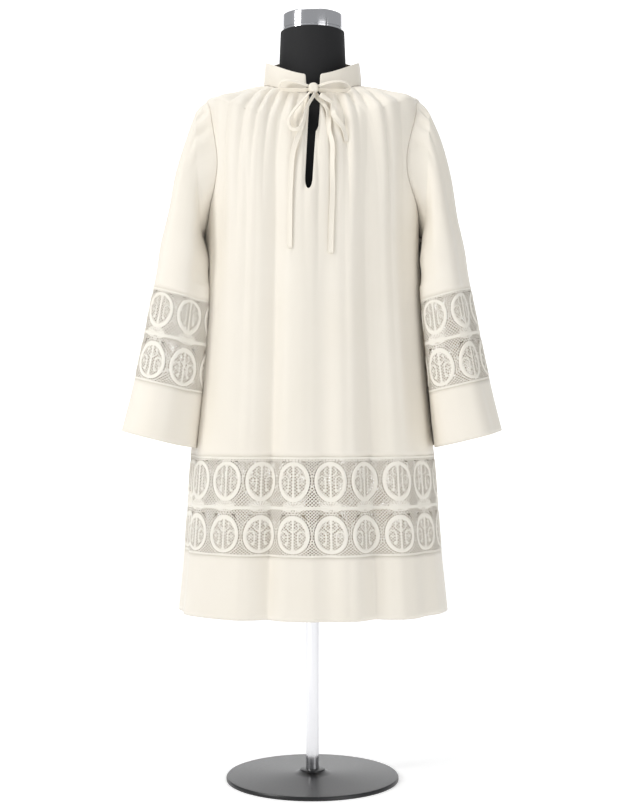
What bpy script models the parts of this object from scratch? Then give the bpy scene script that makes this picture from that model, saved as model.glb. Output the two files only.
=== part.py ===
"""Surplice with lace insertions, on a limbless dress form.

Metres, +Z up, front of the garment faces -Y, origin on the floor under the form's base.
Every cloth piece is a thin wall on a surface that is worked out from named sections.
Left and right are the wearer's: left is +X.
"""
import math
from collections import namedtuple

import bpy
from mathutils import Vector

# Driving sizes
CLOTH = 0.0015
COLLAR_CLOTH = 0.0026
TIE_CLOTH = 0.0016
SEAM = 0.0003
SLEEVE_SEAM = 0.0008
SEAT = 0.0004
ROUNDNESS = 2.3
SLEEVE_ROUNDNESS = 2.5
SLEEVE_CLEARANCE = 0.005
SIDE = math.radians(90)

# Rings of the body: half width, front and back depth, height at side, front and back
Section = namedtuple("Section", "name half_width front back side_z front_z back_z")
BODY = [
    Section("neck seam", 0.0935, 0.0865, 0.0765, 1.3250, 1.2960, 1.3400),
    Section("mid shoulder", 0.1500, 0.1120, 0.1070, 1.3110, 1.2620, 1.3010),
    Section("shoulder", 0.2016, 0.1320, 0.1260, 1.2975, 1.2250, 1.2550),
    Section("armhole", 0.2060, 0.1490, 0.1410, 1.1750, 1.1350, 1.1500),
    Section("underarm", 0.2050, 0.1530, 0.1470, 1.0350, 1.0350, 1.0350),
    Section("waist", 0.2110, 0.1580, 0.1520, 0.9000, 0.9000, 0.9000),
    Section("hip", 0.2200, 0.1650, 0.1600, 0.7600, 0.7600, 0.7600),
    Section("lace top", 0.2335, 0.1720, 0.1680, 0.6220, 0.6220, 0.6220),
    Section("lace bottom", 0.2460, 0.1830, 0.1790, 0.4420, 0.4420, 0.4420),
    Section("hem", 0.2566, 0.1900, 0.1870, 0.3270, 0.3270, 0.3270),
]
SHOULDER, UNDERARM, LACE_TOP, LACE_BOTTOM, HEM = 2, 4, 7, 8, 9

# Troughs between the large soft folds: angles in degrees from the front, depth and half width
Fold = namedtuple("Fold", "name neck_angle hem_angle top_depth hem_depth half_width softness")
FOLDS = [
    Fold("front right crease", -29, -25.5, 0.006, 0.027, 15, 1.2),
    Fold("front centre dip", 6, 9, 0.002, 0.006, 10, 2.0),
    Fold("front left crease", 46, 35, 0.005, 0.021, 13, 1.4),
    Fold("front left hollow", 58, 62, 0.001, 0.009, 9, 2.0),
    Fold("right side hollow", -74, -78, 0.002, 0.007, 9, 2.0),
    Fold("back left hollow", 118, 116, 0.003, 0.011, 10, 2.0),
    Fold("back left crease", 140, 145, 0.005, 0.023, 14, 1.3),
    Fold("back centre dip", 176, 172, 0.003, 0.009, 10, 2.0),
    Fold("back right crease", 205, 202, 0.005, 0.025, 14, 1.3),
    Fold("back right hollow", 232, 234, 0.001, 0.013, 11, 1.8),
]
FOLD_START = 0.4

# Gathers at the neck seam, whose height fades out on the way down
GATHERS = 32
Gather = namedtuple("Gather", "row height")
GATHER_FADE = [
    Gather(0.0, 0.0003), Gather(0.2, 0.0022), Gather(0.6, 0.0034), Gather(1.2, 0.0037),
    Gather(2.0, 0.0032), Gather(2.8, 0.0022), Gather(3.5, 0.0011), Gather(4.4, 0.0),
]

# How far gathers wander towards the front and back on their way over the shoulders, degrees
GATHER_SPREAD, GATHER_SKEW = 10.0, 5.0
SPREAD_ROW = 2

# Armholes: how far the edge lies from the side, and where its rows fall from top to underarm
ARMHOLE_FRONT = math.radians(26)
ARMHOLE_BACK = math.radians(22)
ARMHOLE_CENTRE_Z = 1.165
ARMHOLE_FULLNESS = 0.75
ARMHOLE_STEPS = [0.0, 0.05, 0.14, 0.26, 0.40, 0.55, 0.70, 0.83, 0.93, 1.0]

# Neck slit in the front
SLIT_FOOT_Z = 1.110
SLIT_TOP_X, SLIT_FOOT_X = 0.0036, -0.0077
SLIT_TOP_HALF, SLIT_FOOT_HALF = 0.0105, 0.0075
SLIT_REACH = 1.04

# Sleeve rings, for the left sleeve: outer and inner edge, front and back depth
Ring = namedtuple("Ring", "name outer_x outer_z inner_x inner_z front back")
SLEEVE = [
    Ring("cap", 0.2200, 1.2740, 0.2090, 1.0320, -0.0910, 0.0780),
    Ring("upper cap", 0.2410, 1.2250, 0.2060, 1.0220, -0.0970, 0.0770),
    Ring("upper arm", 0.2590, 1.1600, 0.2020, 1.0030, -0.1030, 0.0730),
    Ring("arm", 0.2750, 1.0780, 0.1965, 0.9720, -0.1090, 0.0670),
    Ring("elbow", 0.2880, 1.0030, 0.1945, 0.9420, -0.1130, 0.0610),
    Ring("sleeve lace top", 0.2990, 0.9370, 0.1930, 0.9090, -0.1170, 0.0570),
    Ring("sleeve lace bottom", 0.3336, 0.7670, 0.2080, 0.7380, -0.1270, 0.0600),
    Ring("cuff end", 0.3574, 0.6690, 0.2190, 0.6355, -0.1320, 0.0640),
]
SLEEVE_LACE_TOP, SLEEVE_LACE_BOTTOM, CUFF_END = 6, 7, 8

# Lace: medallions round each half of the body and of a sleeve, and the gap cut beside each
BODY_MEDALLIONS = 12
SLEEVE_MEDALLIONS = 4
LACE_BANDS = 4
HEM_COLUMNS = 32
LENGTH_SAMPLES = 240
GAP_FROM, GAP_TO = 0.70, 0.89
GAP_TOP, GAP_BOTTOM = 0.22, 0.34

# Collar
COLLAR_TOP = Section("collar top", 0.0900, 0.0855, 0.0740, 1.3695, 1.3315, 1.4040)
COLLAR_GAP_TOP, COLLAR_GAP_BOTTOM = 0.0140, 0.0115
COLLAR_GAP_X = 0.0008
COLLAR_COLUMNS = 30

# Dress form
CAP_RADIUS, CAP_BOTTOM, CAP_TOP, CAP_BEVEL = 0.0585, 1.4300, 1.4630, 0.003
POLE_RADIUS = 0.0125
BASE_RADIUS, BASE_EDGE, BASE_HUB, BASE_HUB_RADIUS = 0.165, 0.008, 0.020, 0.024
CHEST_CLEARANCE, CHEST_FULLNESS = 0.016, 1.5
SHOULDER_ROUND = 0.005
FORM_COLUMNS = 28
NECK = [
    Section("neck top", 0.0612, 0.0612, 0.0612, 1.4297, 1.4297, 1.4297),
    Section("neck", 0.0636, 0.0636, 0.0636, 1.3750, 1.3700, 1.3800),
    Section("neck root", 0.0660, 0.0650, 0.0650, 1.3370, 1.3150, 1.3480),
]
TRUNK = [
    Section("arm plate top", 0.1910, 0.1200, 0.1120, 1.2740, 1.1950, 1.2150),
    Section("arm plate", 0.1850, 0.1290, 0.1190, 1.1900, 1.1400, 1.1500),
    Section("bust", 0.1720, 0.1280, 0.1170, 1.0900, 1.0800, 1.0800),
    Section("form waist", 0.1460, 0.1060, 0.0980, 0.9500, 0.9500, 0.9500),
    Section("form hip", 0.1600, 0.1140, 0.1100, 0.8500, 0.8500, 0.8500),
    Section("form foot", 0.1560, 0.1110, 0.1070, 0.8050, 0.8050, 0.8050),
]
SEATED_ROWS = [0.15, 0.5, 0.9, 1.3, 1.65, 1.9]

# Ties: places across and up, and how far each lies off the cloth behind it
TIE_WIDTH = 0.0100
Place = namedtuple("Place", "x z off")
TAIL_RIGHT = [
    Place(-0.0065, 1.2905, 0.0075), Place(-0.0110, 1.2620, 0.0062), Place(-0.0220, 1.2190, 0.0062),
    Place(-0.0343, 1.1737, 0.0055), Place(-0.0390, 1.1090, 0.0038), Place(-0.0400, 1.0550, 0.0030),
    Place(-0.0405, 1.0010, 0.0022),
]
TAIL_LEFT = [
    Place(0.0080, 1.2918, 0.0075), Place(0.0240, 1.2560, 0.0062), Place(0.0345, 1.2190, 0.0062),
    Place(0.0385, 1.1900, 0.0058), Place(0.0375, 1.1500, 0.0050), Place(0.0362, 1.1075, 0.0042),
    Place(0.0345, 1.0450, 0.0034), Place(0.0334, 0.9920, 0.0028),
]
TAIL_SHORT = [
    Place(0.0150, 1.2842, 0.0125), Place(0.0270, 1.2680, 0.0140), Place(0.0420, 1.2440, 0.0120),
    Place(0.0530, 1.2210, 0.0060), Place(0.0613, 1.1965, 0.0031),
]
Bend = namedtuple("Bend", "x y z")
LOOP_RIGHT = [
    Bend(-0.0073, -0.1030, 1.3060), Bend(-0.0250, -0.1040, 1.3120), Bend(-0.0440, -0.0990, 1.3175),
    Bend(-0.0570, -0.0930, 1.3165), Bend(-0.0625, -0.0890, 1.3095), Bend(-0.0560, -0.0910, 1.3025),
    Bend(-0.0400, -0.0970, 1.3000), Bend(-0.0240, -0.1010, 1.2990), Bend(-0.0073, -0.1030, 1.2995),
]
LOOP_LEFT = [
    Bend(0.0109, -0.1030, 1.3060), Bend(0.0280, -0.1040, 1.3120), Bend(0.0480, -0.0990, 1.3160),
    Bend(0.0630, -0.0920, 1.3145), Bend(0.0690, -0.0870, 1.3080), Bend(0.0620, -0.0900, 1.3010),
    Bend(0.0450, -0.0970, 1.2990), Bend(0.0270, -0.1010, 1.2985), Bend(0.0109, -0.1030, 1.2995),
]
LOOP_LOW = [
    Bend(-0.0045, -0.1080, 1.2940), Bend(-0.0190, -0.1240, 1.2750), Bend(-0.0350, -0.1330, 1.2540),
    Bend(-0.0440, -0.1420, 1.2350), Bend(-0.0395, -0.1475, 1.2200), Bend(-0.0270, -0.1490, 1.2180),
    Bend(-0.0165, -0.1460, 1.2320), Bend(-0.0100, -0.1360, 1.2600), Bend(0.0050, -0.1088, 1.2922),
]
LOOP_TILT = math.radians(42)
LOOP_WIDTH = 0.0080
KNOT_CENTRE = Vector((0.0018, -0.1030, 1.3020))
KNOT_HALF = Vector((0.0092, 0.0095, 0.0100))
LONG_TAIL_STEPS, SHORT_TAIL_STEPS, LOOP_STEPS = 22, 10, 20
KNOT_SEGMENTS, KNOT_RINGS = 12, 8


def clear_scene():
    for found in list(bpy.data.objects):
        bpy.data.objects.remove(found, do_unlink=True)


def new_collection():
    collection = bpy.data.collections.new("surplice_on_dress_form")
    bpy.context.scene.collection.children.link(collection)
    return collection


def make_material(name, colour, roughness, metallic=0.0):
    material = bpy.data.materials.new(name)
    material.use_nodes = True
    shader = material.node_tree.nodes["Principled BSDF"]
    shader.inputs["Base Color"].default_value = (*colour, 1.0)
    shader.inputs["Roughness"].default_value = roughness
    shader.inputs["Metallic"].default_value = metallic
    return material


def new_object(name, verts, faces, colour, roughness, metallic=0.0):
    mesh = bpy.data.meshes.new(name)
    mesh.from_pydata([tuple(v) for v in verts], [], faces)
    mesh.validate()
    made = bpy.data.objects.new(name, mesh)
    made.data.materials.append(make_material(name, colour, roughness, metallic))
    COLLECTION.objects.link(made)
    return made


def smoothstep(value):
    value = min(1.0, max(0.0, value))
    return value * value * (3 - 2 * value)


def even_slope(first, second):
    return (first + second) / 2


def gentle_slope(first, second):
    """The slope between two steps that never swings past the values themselves."""
    return 2 * first * second / (first + second) if first * second > 0 else 0.0


def spline(values, position, slope=even_slope):
    """A smooth curve through evenly spaced values, read at a fractional index."""
    last = len(values) - 1
    index = min(last - 1, max(0, int(position)))
    t = position - index
    before = values[max(0, index - 1)]
    start, end = values[index], values[index + 1]
    after = values[min(last, index + 2)]
    leave, arrive = slope(start - before, end - start), slope(end - start, after - end)
    if index == 0:
        leave = end - start
    if index == last - 1:
        arrive = end - start
    return (start * (2 * t**3 - 3 * t**2 + 1) + leave * (t**3 - 2 * t**2 + t)
            + end * (3 * t**2 - 2 * t**3) + arrive * (t**3 - t**2))


def column(table, field):
    return [getattr(row, field) for row in table]


def ring_point(section, angle, roundness=ROUNDNESS):
    """A point of an oval section: angle 0 is the front, 90 degrees the left side."""
    across, along = abs(math.sin(angle)), math.cos(angle)
    depth = section.front if along > 0 else section.back
    radius = ((across / section.half_width) ** roundness
              + (abs(along) / depth) ** roundness) ** (-1 / roundness)
    end_z = section.front_z if along > 0 else section.back_z
    z = section.side_z + (end_z - section.side_z) * along**2
    return Vector((radius * math.sin(angle), -radius * along, z))


def section_at(table, row):
    return Section("between", *(spline(column(table, field), row, gentle_slope)
                                for field in Section._fields[1:]))


def mean_body(angle, row):
    return ring_point(section_at(BODY, row), angle)


def gather_height(row):
    for low, high in zip(GATHER_FADE, GATHER_FADE[1:]):
        if row <= high.row:
            share = smoothstep((row - low.row) / (high.row - low.row))
            return low.height + (high.height - low.height) * share
    return 0.0


def fold_depth(fold, degrees, row):
    settle = smoothstep(row / UNDERARM)
    middle = fold.neck_angle + (fold.hem_angle - fold.neck_angle) * settle
    apart = abs((degrees - middle + 180) % 360 - 180) / fold.half_width
    if apart >= 1:
        return 0.0
    grown = smoothstep((row - FOLD_START) / (HEM - FOLD_START))
    depth = fold.top_depth * smoothstep(row) + (fold.hem_depth - fold.top_depth) * grown
    return depth * (1 - apart**fold.softness) ** 2


def gather_drift(angle, row):
    """The angle between a gather's place at a row and its place at the neck seam."""
    drift = GATHER_SPREAD * math.sin(2 * angle) - GATHER_SKEW * math.sin(4 * angle)
    return math.radians(drift) * smoothstep(row / SPREAD_ROW)


def gather_line(neck_angle, row):
    """Where a gather that starts at a place of the neck seam lies at a row."""
    angle = neck_angle
    for _ in range(20):
        angle = neck_angle - gather_drift(angle, row)
    return angle


def relief(angle, row):
    """How far the cloth stands out of its mean surface: gathers less troughs."""
    degrees = math.degrees(angle)
    start = angle + gather_drift(angle, row)
    uneven = 0.9 * math.sin(3 * start + 1) + 0.5 * math.sin(7 * start)
    gathers = gather_height(row) * math.cos(GATHERS * start + uneven)
    return gathers - sum(fold_depth(fold, degrees, row) for fold in FOLDS)


def surface_normal(surface, u, v, step=1e-3):
    du = surface(u + step, v) - surface(u - step, v)
    dv = surface(u, v + step) - surface(u, v - step)
    return dv.cross(du).normalized()


def body(angle, row):
    """The outer surface of the body of the garment."""
    normal = surface_normal(mean_body, angle, max(row, 0.02))
    normal.z *= min(1.0, max(0.0, UNDERARM - row))
    return mean_body(angle, row) + normal.normalized() * relief(angle, row)


def cloth_wall(name, surface, columns, rows, thickness, colour, roughness=0.6, level=(),
               shift=(0.0, 0.0), closed=False, cut=(), gap=None):
    """A wall of one thickness on a surface.

    columns(row) gives the places across, coarser rows have half as many. Rows in level keep
    their ends flat. cut holds the cells left open, and gap the sub-rectangle cut in others.
    """
    verts, grid = [], []
    for index, row in enumerate(rows):
        line = []
        places = columns(row)
        for place in places:
            outer = surface(place, row)
            normal = surface_normal(surface, place, row)
            if index in level:
                axis = level[index]
                normal = (normal - axis * normal.dot(axis)).normalized()
                outer = outer + axis * (shift[0] if index == 0 else shift[1])
            line.append(len(verts))
            verts.extend([outer, outer - normal * thickness])
        grid.append(line)
    faces, edges = [], {}

    def add_cell(loop):
        faces.append(loop)
        faces.append([vert + 1 for vert in reversed(loop)])
        for start, end in zip(loop, loop[1:] + loop[:1]):
            edges[(start, end)] = True

    for r in range(len(grid) - 1):
        top, bottom = grid[r], grid[r + 1]
        halved = len(bottom) * 2 - 1 == len(top) if not closed else len(bottom) * 2 == len(top)
        count = len(bottom) if closed else len(bottom) - 1
        for c in range(count):
            if (r, c) in cut:
                continue
            after = (c + 1) % len(bottom)
            if halved:
                loop = [top[2 * c], bottom[c], bottom[after], top[(2 * c + 2) % len(top)], top[2 * c + 1]]
                add_cell(loop)
                continue
            loop = [top[c], bottom[c], bottom[after], top[after]]
            hole = gap(r, c) if gap else None
            if hole is None:
                add_cell(loop)
                continue
            inner = []
            for across, down in hole:
                pair = []
                for side in (0, 1):
                    upper = verts[top[c] + side].lerp(verts[top[after] + side], across)
                    lower = verts[bottom[c] + side].lerp(verts[bottom[after] + side], across)
                    pair.append(upper.lerp(lower, down))
                inner.append(len(verts))
                verts.extend(pair)
            for k in range(4):
                n = (k + 1) % 4
                add_cell([loop[k], loop[n], inner[n], inner[k]])
    for start, end in edges:
        if (end, start) not in edges:
            faces.append([start, start + 1, end + 1, end])
    used = sorted({vert for face in faces for vert in face})
    renumber = {vert: index for index, vert in enumerate(used)}
    return new_object(name, [verts[vert] for vert in used],
                      [[renumber[vert] for vert in face] for face in faces], colour, roughness)


def solid_from_rings(name, rings, colour, roughness, metallic=0.0):
    """A closed solid through rings of equal count, top first, with flat end caps."""
    count = len(rings[0])
    verts = [point for ring in rings for point in ring]
    faces = [list(range(count))]
    for r in range(len(rings) - 1):
        for c in range(count):
            n = (c + 1) % count
            faces.append([r * count + c, (r + 1) * count + c, (r + 1) * count + n, r * count + n])
    faces.append([(len(rings) - 1) * count + c for c in reversed(range(count))])
    return new_object(name, verts, faces, colour, roughness, metallic)


IVORY = (0.90, 0.86, 0.76)
LACE_IVORY = (0.91, 0.88, 0.80)
BLACK = (0.02, 0.02, 0.022)
CHROME = (0.75, 0.75, 0.77)
UP = Vector((0, 0, 1))


def panel_edge(row, turn):
    """The angle of a panel's side edge, from its own middle, with the armhole cut out."""
    share = (row - SHOULDER) / (UNDERARM - SHOULDER)
    point = mean_body(SIDE, row)
    seam = SEAM / 2 / point.length
    if share <= 0 or share >= 1:
        return SIDE - SEAM / 2 / abs(point.x)
    return SIDE - turn * math.sin(math.pi * share) ** ARMHOLE_FULLNESS - seam


def armhole_row(share):
    return SHOULDER + (UNDERARM - SHOULDER) * share


NECK_ROWS = [0.0, 0.2, 0.6, 1.0, 1.5]
ARMHOLE_ROWS = [armhole_row(share) for share in ARMHOLE_STEPS]
LOWER_ROWS = [4.7, 5.5, 6.25, 7.0]
PANEL_ROWS = NECK_ROWS + ARMHOLE_ROWS + LOWER_ROWS
FINE_COLUMNS, COARSE_COLUMNS = 48, 24
LAST_FINE_ROW = ARMHOLE_ROWS[4]


def along_gathers(start, end, share, row):
    """A place between two others that follows the gathers near the neck, and is even below."""
    first, last = start + gather_drift(start, row), end + gather_drift(end, row)
    followed = gather_line(first + (last - first) * share, row)
    even = start + (end - start) * share
    return followed + (even - followed) * smoothstep((row - SPREAD_ROW) / SPREAD_ROW)


def panel_columns(row, turn):
    edge = panel_edge(row, turn)
    count = FINE_COLUMNS if row <= LAST_FINE_ROW else COARSE_COLUMNS
    return [along_gathers(-edge, edge, step / count, row) for step in range(count + 1)]


def slit_share(row):
    """0 at the neck seam and 1 at the slit's foot."""
    top = BODY[0].front_z
    return (top - mean_body(0, row).z) / (top - SLIT_FOOT_Z)


def front_columns(row):
    """The front's columns, moved so that the middle two cells span the slit."""
    places = panel_columns(row, ARMHOLE_FRONT)
    middle = len(places) // 2
    share = slit_share(row)
    depth = -mean_body(0, row).y
    centre = (SLIT_TOP_X + (SLIT_FOOT_X - SLIT_TOP_X) * min(share, 1.0)) / depth
    half = (SLIT_TOP_HALF + (SLIT_FOOT_HALF - SLIT_TOP_HALF) * share) / depth
    if share > 1:
        half = places[middle + 1]
        centre *= max(0.0, 2 - share)
    left, right = centre - half, centre + half
    edge = places[-1]
    for step in range(middle):
        along = step / (middle - 1)
        places[step] = along_gathers(-edge, left, along, row)
        places[-1 - step] = along_gathers(edge, right, along, row)
    places[middle] = centre
    return places


def make_panels():
    rows = PANEL_ROWS
    last = len(rows) - 1
    level = {last: UP}
    slit_cells = set()
    for index, row in enumerate(rows[:-1]):
        if slit_share(rows[index + 1]) < SLIT_REACH:
            middle = len(panel_columns(rows[index + 1], ARMHOLE_FRONT)) // 2
            slit_cells |= {(index, middle - 1), (index, middle)}
    cloth_wall("front_panel", body, front_columns, rows, CLOTH, IVORY, level=level,
               shift=(0.0, SEAM / 2), cut=slit_cells)

    def back_surface(angle, row):
        return body(angle + math.pi, row)

    cloth_wall("back_panel", back_surface, lambda row: panel_columns(row, ARMHOLE_BACK), rows,
               CLOTH, IVORY, level=level, shift=(0.0, SEAM / 2))


def even_places(surface, row, start, end, count):
    """Places at equal lengths along a row of a surface, between two places."""
    samples = LENGTH_SAMPLES
    places = [start + (end - start) * step / samples for step in range(samples + 1)]
    points = [surface(place, row) for place in places]
    lengths = [0.0]
    for before, after in zip(points, points[1:]):
        lengths.append(lengths[-1] + (after - before).length)
    found = []
    index = 0
    for step in range(count + 1):
        target = lengths[-1] * step / count
        while index < samples - 1 and lengths[index + 1] < target:
            index += 1
        share = (target - lengths[index]) / (lengths[index + 1] - lengths[index])
        found.append(places[index] + (places[index + 1] - places[index]) * share)
    return found


def lace_gap(row_index, column_index):
    """The open corner beside each medallion's shoulder, on the upper band of each row."""
    if row_index % 2:
        return None
    low, high = GAP_FROM, GAP_TO
    if column_index % 2 == 0:
        low, high = 1 - GAP_TO, 1 - GAP_FROM
    return [(low, GAP_TOP), (low, GAP_BOTTOM), (high, GAP_BOTTOM), (high, GAP_TOP)]


def make_hem_lace():
    middle = (LACE_TOP + LACE_BOTTOM) / 2
    edge = SIDE - SEAM / 2 / BODY[LACE_TOP].half_width
    rows = [LACE_TOP + (LACE_BOTTOM - LACE_TOP) * band / LACE_BANDS for band in range(LACE_BANDS + 1)]
    level = {0: UP, LACE_BANDS: UP}
    for name, turn in (("hem_lace_front", 0.0), ("hem_lace_back", math.pi)):
        def surface(angle, row, turn=turn):
            return body(angle + turn, row)

        places = even_places(surface, middle, -edge, edge, 2 * BODY_MEDALLIONS)
        cloth_wall(name, surface, lambda row, places=places: places, rows, CLOTH, LACE_IVORY,
                   level=level, shift=(-SEAM / 2, SEAM / 2), gap=lace_gap)


def make_hem():
    edge = SIDE - SEAM / 2 / BODY[LACE_BOTTOM].half_width
    rows = [LACE_BOTTOM, (LACE_BOTTOM + HEM) / 2, HEM]
    for name, turn in (("hem_front", 0.0), ("hem_back", math.pi)):
        def surface(angle, row, turn=turn):
            return body(angle + turn, row)

        places = even_places(surface, HEM, -edge, edge, HEM_COLUMNS)
        cloth_wall(name, surface, lambda row, places=places: places, rows, CLOTH, IVORY,
                   level={0: UP, 2: UP}, shift=(-SEAM / 2, 0.0))


def make_collar():
    base = BODY[0]
    lift = 2 * SEAM

    def surface(angle, drop):
        middle = section_at([COLLAR_TOP, base], drop)
        return ring_point(middle, angle) + UP * (lift * drop)

    def places(drop):
        half = COLLAR_GAP_TOP + (COLLAR_GAP_BOTTOM - COLLAR_GAP_TOP) * drop
        start = math.atan2(COLLAR_GAP_X + half, base.front)
        end = math.tau - math.atan2(half - COLLAR_GAP_X, base.front)
        return [start + (end - start) * step / COLLAR_COLUMNS for step in range(COLLAR_COLUMNS + 1)]

    cloth_wall("collar", surface, places, [0.0, 0.5, 1.0], COLLAR_CLOTH, IVORY,
               level={0: UP, 2: UP})


def armhole_point(around, side):
    """The armhole's edge, around 0 at the shoulder point, a quarter turn at the front."""
    share = (1 - math.cos(around)) / 2
    row = armhole_row(share)
    dip = math.sin(math.pi * share) ** ARMHOLE_FULLNESS if 0 < share < 1 else 0.0
    turn = -ARMHOLE_FRONT if math.sin(around) >= 0 else ARMHOLE_BACK
    return body(side * (SIDE + turn * dip), row)


def clear_of_body(point, clearance):
    """Moves a point outwards until it is clear of the body's side."""
    if point.z >= BODY[UNDERARM].side_z:
        low, high = SHOULDER, UNDERARM
    else:
        low, high = UNDERARM, HEM
    angle = math.atan2(point.x, -point.y)
    for _ in range(18):
        middle = (low + high) / 2
        if mean_body(angle, middle).z > point.z:
            low = middle
        else:
            high = middle
    skin = body(angle, (low + high) / 2)
    wanted = math.hypot(skin.x, skin.y) + clearance
    radius = math.hypot(point.x, point.y)
    if radius >= wanted:
        return point
    return Vector((point.x * wanted / radius, point.y * wanted / radius, point.z))


def sleeve_section(around, row, side):
    """A point of a sleeve ring, kept in the ring's plane; row 1 is the first of the table."""
    ring = Ring("between", *(spline(column(SLEEVE, field), row - 1) for field in Ring._fields[1:]))
    along, across = math.cos(around), math.sin(around)
    along = math.copysign(abs(along) ** (2 / SLEEVE_ROUNDNESS), along)
    across = math.copysign(abs(across) ** (2 / SLEEVE_ROUNDNESS), across)
    centre = Vector((ring.outer_x + ring.inner_x, ring.front + ring.back,
                     ring.outer_z + ring.inner_z)) / 2
    reach = Vector(((ring.outer_x - ring.inner_x) / 2, 0, (ring.outer_z - ring.inner_z) / 2))
    point = centre + reach * along + Vector((0, (ring.front - ring.back) / 2, 0)) * across
    point.x *= side
    moved = clear_of_body(point, SLEEVE_CLEARANCE) - point
    slope = side * reach.z / reach.x
    return point + Vector((moved.x, moved.y, moved.x * slope))


def sleeve(around, row, side):
    """The outer surface of a sleeve, row 0 is the armhole seam and side is 1 on the left."""
    if row >= 1:
        return sleeve_section(around, row, side)
    edge = armhole_point(around, side)
    inwards = Vector((0, -edge.y, ARMHOLE_CENTRE_Z - edge.z)).normalized()
    start = edge + Vector((side * SLEEVE_SEAM, 0, 0)) + inwards * SLEEVE_SEAM
    share = max(row, 0.0)
    return start.lerp(sleeve_section(around, 1.0, side), share)


def left_sleeve(turn, row):
    """The left sleeve with turns that run from the outer edge over the back to the front."""
    return sleeve(-turn, row, 1)


def right_sleeve(turn, row):
    """The right sleeve with turns that run from the outer edge over the front to the back."""
    return sleeve(turn, row, -1)


def sleeve_axis(row, side):
    """The direction that a sleeve's seam plane faces, up the arm."""
    ring = SLEEVE[row - 1]
    reach = Vector((side * (ring.outer_x - ring.inner_x), 0, ring.outer_z - ring.inner_z))
    return Vector((-reach.z, 0, reach.x)).normalized() * side


SLEEVE_ROWS = [0, 0.06, 0.4, 1, 2, 3, 4, 5, 6]
SLEEVE_TURNS = [math.acos(1 - 2 * share) for share in ARMHOLE_STEPS]
SLEEVE_PLACES = SLEEVE_TURNS + [math.tau - turn for turn in reversed(SLEEVE_TURNS[1:-1])]
CUFF_COLUMNS = 28
CUFF_ROWS = [SLEEVE_LACE_BOTTOM, (SLEEVE_LACE_BOTTOM + CUFF_END) / 2, CUFF_END]
SLEEVE_RADIUS = 0.06


def make_sleeve(label, surface, side):
    top, bottom, end = (sleeve_axis(row, side) for row in
                        (SLEEVE_LACE_TOP, SLEEVE_LACE_BOTTOM, CUFF_END))
    last = len(SLEEVE_ROWS) - 1
    cloth_wall("sleeve_" + label, surface, lambda row: SLEEVE_PLACES, SLEEVE_ROWS, CLOTH, IVORY,
               level={last: top}, shift=(0.0, SEAM / 2), closed=True)
    middle = (SLEEVE_LACE_TOP + SLEEVE_LACE_BOTTOM) / 2
    rows = [SLEEVE_LACE_TOP + band / LACE_BANDS for band in range(LACE_BANDS + 1)]
    small = SEAM / 2 / SLEEVE_RADIUS
    for part, start in (("front", 0.0), ("back", math.pi)):
        if side > 0:
            start = math.pi - start
        halves = even_places(surface, middle, start + small, start + math.pi - small,
                             2 * SLEEVE_MEDALLIONS)
        cloth_wall("sleeve_lace_%s_%s" % (label, part), surface, lambda row, halves=halves: halves,
                   rows, CLOTH, LACE_IVORY, level={0: top, LACE_BANDS: bottom},
                   shift=(-SEAM / 2, SEAM / 2), gap=lace_gap)
    around = even_places(surface, CUFF_END, 0.0, math.tau, CUFF_COLUMNS)[:-1]
    cloth_wall("cuff_" + label, surface, lambda row: around, CUFF_ROWS, CLOTH, IVORY, level={0: bottom, 2: end}, shift=(-SEAM / 2, 0.0), closed=True)


def make_torso():
    """The smooth form: neck, shoulders that carry the cloth, and a plain trunk."""
    turns = [math.tau * step / FORM_COLUMNS for step in range(FORM_COLUMNS)]
    rings = [[ring_point(section, turn, 2.0) for turn in turns] for section in NECK]
    for row in SEATED_ROWS:
        ring = []
        for turn in turns:
            normal = surface_normal(mean_body, turn, row)
            room = gather_height(row) + CLOTH + SEAT
            room += CHEST_CLEARANCE * (1 - abs(math.sin(turn)) ** CHEST_FULLNESS)
            room += SHOULDER_ROUND * smoothstep((row - 1) / (SEATED_ROWS[-1] - 1))
            for fold in FOLDS:
                room += fold_depth(fold, math.degrees(turn), row)
            ring.append(mean_body(turn, row) - normal * room)
        rings.append(ring)
    rings += [[ring_point(section, turn) for turn in turns] for section in TRUNK]
    solid_from_rings("form_torso", rings, BLACK, 0.75)


def turned(name, profile, colour, roughness, metallic, steps=32):
    """A turned solid: the profile runs down its outer side, from axis to axis."""
    rings = []
    for radius, z in profile:
        rings.append([Vector((radius * math.sin(turn), -radius * math.cos(turn), z)) for turn in
                      (math.tau * step / steps for step in range(steps))])
    solid_from_rings(name, rings, colour, roughness, metallic)


def make_stand():
    turned("form_neck_cap", [(CAP_RADIUS - CAP_BEVEL, CAP_TOP), (CAP_RADIUS, CAP_TOP - CAP_BEVEL),
                             (CAP_RADIUS, CAP_BOTTOM + CAP_BEVEL / 2),
                             (CAP_RADIUS - CAP_BEVEL / 2, CAP_BOTTOM)], CHROME, 0.12, 1.0)
    foot = TRUNK[-1].side_z
    turned("form_pole", [(POLE_RADIUS, foot - SEAM), (POLE_RADIUS, BASE_HUB + SEAM)],
           CHROME, 0.15, 1.0, steps=20)
    turned("form_base", [(BASE_HUB_RADIUS * 0.8, BASE_HUB), (BASE_HUB_RADIUS, BASE_HUB * 0.8),
                         (BASE_HUB_RADIUS * 1.6, BASE_EDGE * 1.3), (BASE_RADIUS * 0.96, BASE_EDGE),
                         (BASE_RADIUS, BASE_EDGE * 0.6), (BASE_RADIUS, 0.0)], BLACK, 0.35, 0.2, 40)


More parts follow.
